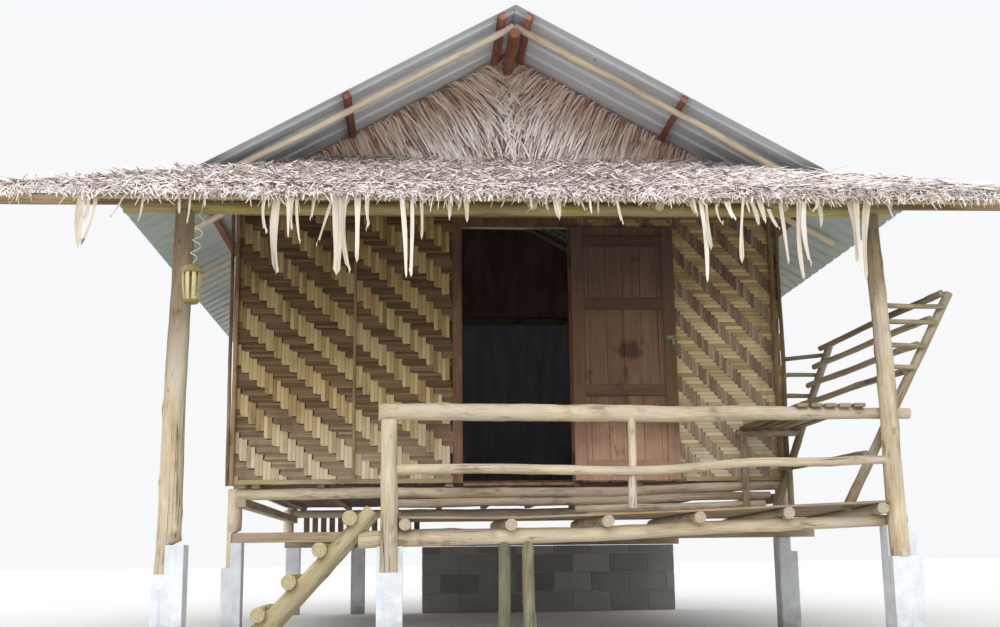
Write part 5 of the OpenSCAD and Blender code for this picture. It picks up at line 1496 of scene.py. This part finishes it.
    def build(self, scene, rng):
        s = scene.house_thatch
        dressed("porch_thatch_bed", ["porch_thatch"], timber("thatch depth"), "palm_thatch", "x", 0.006,
                self.thin_eave)
        finish = leaf_finish("porch palm leaf", tuple(s.dark), tuple(s.mid), tuple(s.pale), 0.5)
        rows = [*self.on_top(s, rng), *self.on_face(s, rng)]
        settle(leaflets("porch_thatch_leaves", finish, s.curl, 0.4, 9, rows), "palm_thatch", ["porch_thatch"])
        edge = leaf_finish("fringe palm leaf", tint(136, 116, 96), tint(222, 208, 188), tint(248, 242, 228),
                           0.4)
        rows = list(self.along_eave(s, rng))
        settle(leaflets("porch_thatch_fringe", edge, 0.02, 0.4, 5, rows), "palm_thatch")
        solid = Solid()
        for x0, z0, x1, z1, w0, w1 in self.strips:
            y = -1990 + rng.uniform(-6, 25)
            ribbon(solid, rng, at(x0, y + 6, z0 + 60), at(x1, y + rng.uniform(-10, 10), z1), 0.86 * w0 / 1000,
                   w1 / 1000)
        solid.piece("hanging_leaf_strips", [timber("bleached leaf strip")], "palm_thatch")
        solid = Solid()
        for line in self.head_rods:
            x = np.linspace(line[0][0], line[-1][0], 40)
            z = np.interp(x, *zip(*line))
            z = np.convolve(np.pad(z, 3, "edge"), np.ones(7) / 7, "valid")
            tube(solid, [at(a, -38, b) for a, b in zip(x, z)], 0.013)
        solid.piece("thatch_head_rods", [timber("bleached leaf strip")], "palm_thatch")


def paint(nodes, material):
    """Gives CAD nodes another material and leaves their shapes."""
    for node in nodes:
        for slot in NODES[node].material_slots:
            slot.material = material


class HOUSE_OT_roof(HouseOperator):
    """Weathers the ribbed sheets and paints light and shade on their underside"""
    bl_idname = "house.roof"
    bl_label = "Sheet Roof"

    def build(self, scene, rng):
        f = Finish("weathered sheet with painted light")
        place = f.spot()
        streak = f.noise(f.spot((0.35, 6.0, 0.35)), 3.0, 5.0, 0.6)
        patch = f.noise(place, 1.3, 4.0, 0.6)
        up = f.part(f.wire("ShaderNodeNewGeometry", "Normal"), "Z").between(-0.1, 0.1)
        top = f.ramp(streak * 0.6 + patch * 0.4, (0.35, tint(134, 140, 138)), (0.6, tint(178, 182, 178)))
        # The underside is painted near white, much paler than the top: painted light under the eaves
        below = f.ramp(streak * 0.5 + patch * 0.5, (0.35, tint(214, 226, 236)), (0.65, tint(238, 246, 252)))
        # Painted shade of the porch on the underside, low near the eaves
        painted_porch_shade = f.part(place, "Z").between(3.05, 3.45, 1.0, 0.0)
        below = f.mix(painted_porch_shade, below, (0.55, 0.58, 0.50), "MULTIPLY")
        base = f.mix(up, below, top)
        rust = f.noise(place, 9.0, 6.0, 0.7).between(0.62, 0.72)
        base = f.mix(rust * 0.6, base, tint(128, 84, 56))
        metal = f.done(base, streak * 0.2 + 0.42, streak, 0.001, 0.25, metal=0.1, specular=0.5)
        paint(("roof_sheet_left", "roof_sheet_right", "ridge_cap"), metal)


def limewash():
    """Whitewashed concrete with damp feet and dark drips."""
    f = Finish("limewashed concrete")
    place = f.spot()
    grit = f.noise(place, 90.0, 5.0, 0.7)
    patch = f.noise(place, 7.0, 4.0, 0.65)
    high = f.part(place, "Z")
    colour = f.ramp(patch * 0.6 + grit * 0.4, (0.35, tint(204, 209, 214)), (0.6, tint(232, 236, 241)))
    damp = (high + f.noise(place, 9.0, 5.0, 0.7) * 0.35).between(0.12, 0.42, 0.75, 0.0)
    colour = f.mix(damp, colour, tint(112, 110, 98))
    drip = f.noise(f.spot((9, 9, 0.6)), 3.0, 4.0, 0.6).between(0.55, 0.7)
    colour = f.mix(drip * 0.3, colour, tint(128, 124, 112))
    return f.done(colour, 0.9, grit * 0.6 + patch * 0.8, 0.004, 0.6, specular=0.2)


def grey_block():
    """Cement blocks, each with a tone of its own."""
    f = Finish("grey block")
    place = f.spot()
    grit = f.noise(place, 120.0, 5.0, 0.75)
    level = grit * 0.4 + f.value("tone") * 0.4 + f.noise(place, 4.0, 3.0) * 0.2
    colour = f.ramp(level, (0.3, tint(120, 120, 116)), (0.7, tint(170, 170, 164)))
    return f.done(colour, 0.95, grit, 0.004, 0.8, specular=0.15)


def gritty(name, noise, dark, pale, rough, relief, metal=0.0, specular=0.3):
    """A finish of two colours in fine grains. Its roughness is one number, or a share of the grit and a
    start."""
    f = Finish(name)
    grit = f.noise(f.spot(), *noise)
    if isinstance(rough, tuple):
        rough = grit * rough[0] + rough[1]
    return f.done(f.ramp(grit, dark, pale), rough, grit, *relief, metal=metal, specular=specular)


class HOUSE_OT_footings(HouseOperator):
    """Casts the concrete stumps and lays the block wall"""
    bl_idname = "house.footings"
    bl_label = "Footings"
    seed = 17
    # Courses of the wall that show above the ground, the length of a block, and half a joint
    courses, block, joint = 3.435, 0.4, 0.005

    def build(self, scene, rng):
        lime = limewash()
        for name, node in (("porch_stumps", "porch_footings"), ("room_stumps", "house_footings")):
            dressed(name, [node], lime, "concrete", "z", 0.008)
        mortar = gritty("mortar", (150.0, 4.0, 0.7), (0.3, tint(150, 148, 140)), (0.7, tint(184, 182, 174)),
                        0.95, (0.003, 0.6), specular=0.15)
        low, high = (np.array(corner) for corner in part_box("rear_block_wall"))
        solid = Solid()
        inset = np.array((0.008, 0.008, 0.006))
        board(solid, rng, low + inset * (1, 1, 0), high - inset, "x", 0.5, 0.001, slot=1)
        course = (high[2] - low[2]) / self.courses
        z, row = low[2], 0
        while z < high[2] - 0.02:
            top = min(z + course, high[2])
            x = low[0] - (self.block / 2 if row % 2 else 0.0)
            while x < high[0] - 0.01:
                a, b = max(x, low[0]), min(x + self.block, high[0])
                if b - a > 0.03:
                    jolt = rng.uniform(-0.0015, 0.0015)
                    board(solid, rng, (a + self.joint, low[1] + jolt, z + self.joint),
                          (b - self.joint, high[1] + jolt, top - self.joint), "x", None, 0.004)
                x += self.block
            z, row = top, row + 1
        solid.piece("rear_block_courses", [grey_block(), mortar], "blockwork", ["rear_block_wall"])


class HOUSE_OT_door(HouseOperator):
    """Makes the framed door leaf and its iron"""
    bl_idname = "house.door"
    bl_label = "Door"
    seed = 37
    # The dark burn on the middle panel: place across, height, and its reach both ways
    burn = (0.90, 2.12, 0.15, 0.10)
    planks, stile, rail = 6, 0.092, 0.084

    def finish(self):
        f = Finish("door planks")
        fine = f.noise(f.grain((1, 1, 0.04)), 120.0, 5.0, 0.65)
        broad = f.noise(f.grain((1, 1, 0.16)), 8.0, 3.0, 0.5, 0.6)
        level = fine * 0.35 + broad * 0.3 + f.value("tone") * 0.35
        high = f.part(f.spot(), "Z")
        colour = f.ramp(level, (0.25, tint(82, 60, 46)), (0.5, tint(132, 102, 78)),
                        (0.75, tint(170, 140, 110)))
        low_part = (high + f.noise(f.spot(), 3.0, 3.0) * 0.4).between(1.45, 1.85, 1.0, 0.0)
        bleached = f.ramp(level, (0.25, tint(154, 116, 100)), (0.5, tint(202, 164, 138)),
                          (0.75, tint(228, 200, 168)))
        colour = f.mix(low_part, colour, bleached)
        stain = f.noise(f.spot((1.5, 1, 0.8)), 5.0, 5.0, 0.7).between(0.55, 0.7)
        colour = f.mix(stain * 0.6, colour, tint(66, 44, 36))
        spread = f.noise(f.spot(), 14.0, 4.0, 0.7)
        away = ((f.part(f.spot(), "X") - self.burn[0]) / self.burn[2]).power(2.0) + (
            (high - self.burn[1]) / self.burn[3]).power(2.0)
        burn = (away.power(0.5) + spread * 1.6).between(1.1, 1.7, 0.75, 0.0)
        colour = f.mix(burn, colour, tint(62, 42, 36))
        # Painted shade of the porch roof over the top of the door
        colour = f.mix(high.between(2.1, 2.85), colour, (0.40, 0.41, 0.52), "MULTIPLY")
        return f.done(colour, 0.7, fine, 0.0015, 0.5)

    def build(self, scene, rng):
        (x0, y0, z0), (x1, y1, z1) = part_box("door_leaf")
        face = y0 + 0.020
        solid = Solid()
        edges = np.linspace(x0, x1, self.planks + 1)
        for a, b in zip(edges, edges[1:]):
            board(solid, rng, (a + 0.0008, face, z0), (b - 0.0008, y1, z1), "z", rng.uniform(0.4, 0.62),
                  0.0025)
        for a in (x0, x1 - self.stile):
            board(solid, rng, (a, y0, z0), (a + self.stile, face + 0.002, z1), "z", 0.3, 0.003)
        a, b = x0 + 0.0925, x1 - 0.0925
        for z in (0.070, 0.640, 1.310):
            board(solid, rng, (a, y0 + 0.001, z0 + z), (b, face + 0.002, z0 + z + self.rail), "x", 0.12,
                  0.003)
        board(solid, rng, (a, y0 + 0.001, z1 - 0.160), (b, face + 0.002, z1 - 0.076), "x", 0.2, 0.003)
        solid.piece("door_leaf_planks", [self.finish()], "door_boards", ["door_leaf"], "door")
        paint(("door_straps", "door_pintles"), gritty(
            "rusty iron", (60.0, 6.0, 0.7), (0.35, tint(54, 46, 42)), (0.6, tint(104, 68, 48)), (0.4, 0.45),
            (0.001, 0.5), 0.5))
        paint(["door_hasp"], gritty(
            "green brass", (70.0, 5.0, 0.7), (0.35, tint(96, 104, 84)), (0.6, tint(156, 158, 132)), 0.5,
            (0.0008, 0.4), 0.5))


class HOUSE_OT_lantern(HouseOperator):
    """Finishes the bamboo lantern and curls its hanger"""
    bl_idname = "house.lantern"
    bl_label = "Lantern"
    seed = 29
    girth, slats, turns = 0.066, 9, 4.25
    # Outlines of the cap and of the foot, as shares of the girth and of the height
    cap = ((0, 1.0), (0.30, 0.985), (0.62, 0.955), (0.88, 0.90), (0.99, 0.83), (1.0, 0.76), (0.93, 0.755),
           (0.90, 0.83), (0.5, 0.93), (0, 0.955))
    foot = ((0, 0.13), (0.55, 0.12), (0.70, 0.10), (0.74, 0.05), (0.60, 0.0), (0, 0.01))
    slat = ((0.90, 0.80), (0.92, 0.62), (0.87, 0.40), (0.78, 0.22), (0.68, 0.07))

    def build(self, scene, rng):
        centre, floor = at(-2123, -1720, 0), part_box("lantern")[0].z
        tall = at(0, 0, 2382)[2] - floor
        solid = Solid()
        for outline in (self.cap, self.foot):
            lathe(solid, centre, floor, [(r * self.girth, h * tall) for r, h in outline])
        for k in range(self.slats):
            turn = 2 * math.pi * (k + 0.3) / self.slats
            out = np.array((math.cos(turn), math.sin(turn), 0))
            across = np.array((-math.sin(turn), math.cos(turn), 0))
            rings = []
            for r, h in self.slat:
                spot = np.array((centre[0], centre[1], floor + h * tall)) + out * r * self.girth
                half = across * 0.012 * (0.7 + 0.3 * r)
                rings += [spot - half, spot + half, spot + half - out * 0.003, spot - half - out * 0.003]
            faces = [(a, d, c, b) for a, b, c, d in skin(len(self.slat), 4)]
            faces += [(0, 1, 2, 3), (19, 18, 17, 16)]
            grain = [(p[0] - centre[0], p[1] - centre[1], p[2]) for p in rings]
            solid.put(rings, faces, grain, rng.uniform(0.3, 0.9), slot=1, smooth=False)
        solid.piece("lantern_basket", [timber("olive basket cane"), timber("straw slats")], "bamboo_poles",
                    ["lantern"])
        solid = Solid()
        t = np.linspace(0, 1, 110)
        swing = 0.027 * np.clip(5 * (t - 0.22), 0, 1) * np.clip(10 * (1 - t), 0, 1)
        angle = 2 * math.pi * self.turns * np.clip(t - 0.22, 0, 1) / 0.78 + 0.6
        start, end = at(-2062, -1722, 2835), at(-2118, -1722, 2384)
        line = start + t[:, None] * (end - start)
        line[:, 0] += swing * np.cos(angle)
        line[:, 1] += swing * np.sin(angle)
        tube(solid, line, 0.006, 6)
        cord = gritty("white cord", (300.0,), (0.3, tint(214, 206, 190)), (0.7, tint(244, 240, 230)), 0.8,
                      (0.0005,))
        solid.piece("lantern_curled_hanger", [cord], "bamboo_poles")


class HOUSE_OT_stage(HouseOperator):
    """Sets the floor, the light and the camera"""
    bl_idname = "house.stage"
    bl_label = "Stage"
    # Where the camera stands and how far it turns left, looks up and rolls, fitted to the photo
    eye, aside, upward, roll = (-0.7371, -11.0439, 0.5495), -0.069, 0.1925, -0.0119

    def build(self, scene, rng):
        s = scene.house_stage
        bpy.ops.mesh.primitive_plane_add(size=240, location=(0, 0, -0.001))
        floor = bpy.context.object
        floor.name = "floor"
        f = Finish("pale floor")
        floor.data.materials.append(f.done(tint(238, 238, 236), 0.95, specular=0.0))
        self.light_all_round(scene, s.daylight)
        for name, strength, spread, turn in (("key light", s.key, 46, (52, 6, -12)),
                                             ("fill light", s.fill, 70, (80, 0, -10))):
            sun = placed(name, bpy.data.lights.new(name, "SUN"))
            sun.data.energy, sun.data.angle = strength, math.radians(spread)
            sun.rotation_euler = [math.radians(a) for a in turn]
        camera = placed("camera", bpy.data.cameras.new("camera"))
        camera.data.lens, camera.data.sensor_width = s.focal, 36
        camera.location = self.eye
        camera.rotation_mode = "XYZ"
        look = (Matrix.Rotation(self.aside, 3, "Z") @ Matrix.Rotation(math.pi / 2 + self.upward, 3, "X")
                @ Matrix.Rotation(self.roll, 3, "Z"))
        camera.rotation_euler = look.to_euler()
        scene.camera = camera
        scene.view_settings.view_transform = "Standard"

    def light_all_round(self, scene, strength):
        """Even light all round, stronger from above; what the camera sees of it is near white."""
        world = bpy.data.worlds.new("daylight")
        scene.world = world
        world.use_nodes = True
        tree = world.node_tree
        sky = tree.nodes["Background"]
        sky.inputs["Color"].default_value = (0.97, 0.985, 1.0, 1)
        path = add(tree, "ShaderNodeLightPath").outputs
        camera, glossy, through = (Wire(tree, path[f"Is {kind} Ray"]) for kind in (
            "Camera", "Glossy", "Transmission"))
        seen = camera.high(glossy).high(through)
        towards = add(tree, "ShaderNodeTexCoord").outputs["Generated"]
        facing = add(tree, "ShaderNodeSeparateXYZ", {"Vector": towards})
        dome = Wire(tree, facing.outputs["Z"]).between(0.0, 0.9, strength * 0.62, strength * 1.25)
        feed(tree, sky.inputs["Strength"], seen * (dome * -1.0 + 0.96) + dome)


OPERATORS = (HOUSE_OT_stage, HOUSE_OT_footings, HOUSE_OT_base, HOUSE_OT_sawn, HOUSE_OT_posts,
             HOUSE_OT_railing, HOUSE_OT_deck, HOUSE_OT_bench, HOUSE_OT_stair, HOUSE_OT_roof_poles,
             HOUSE_OT_roof, HOUSE_OT_walls, HOUSE_OT_gable_thatch, HOUSE_OT_porch_thatch, HOUSE_OT_door,
             HOUSE_OT_lantern)


class HOUSE_PT_panel(bpy.types.Panel):
    """Lists the parts of the house and what can be changed"""
    bl_label = "Stilt House"
    bl_space_type = "VIEW_3D"
    bl_region_type = "UI"
    bl_category = "Stilt House"

    def draw(self, context):
        for operator in OPERATORS:
            self.layout.operator(operator.bl_idname)
        for key, group in SETTINGS.items():
            box = self.layout.box()
            for name in group.__annotations__:
                box.prop(getattr(context.scene, key), name)


def register():
    for group in SETTINGS.values():
        bpy.utils.register_class(group)
    for key, group in SETTINGS.items():
        setattr(bpy.types.Scene, key, bpy.props.PointerProperty(type=group))
    for item in (*OPERATORS, HOUSE_PT_panel):
        bpy.utils.register_class(item)


def unregister():
    for item in (HOUSE_PT_panel, *reversed(OPERATORS)):
        bpy.utils.unregister_class(item)
    for key in SETTINGS:
        delattr(bpy.types.Scene, key)
    for group in SETTINGS.values():
        bpy.utils.unregister_class(group)


def main():
    register()
    for operator in OPERATORS:
        group, name = operator.bl_idname.split(".")
        getattr(getattr(bpy.ops, group), name)()


if __name__ == "__main__":
    main()
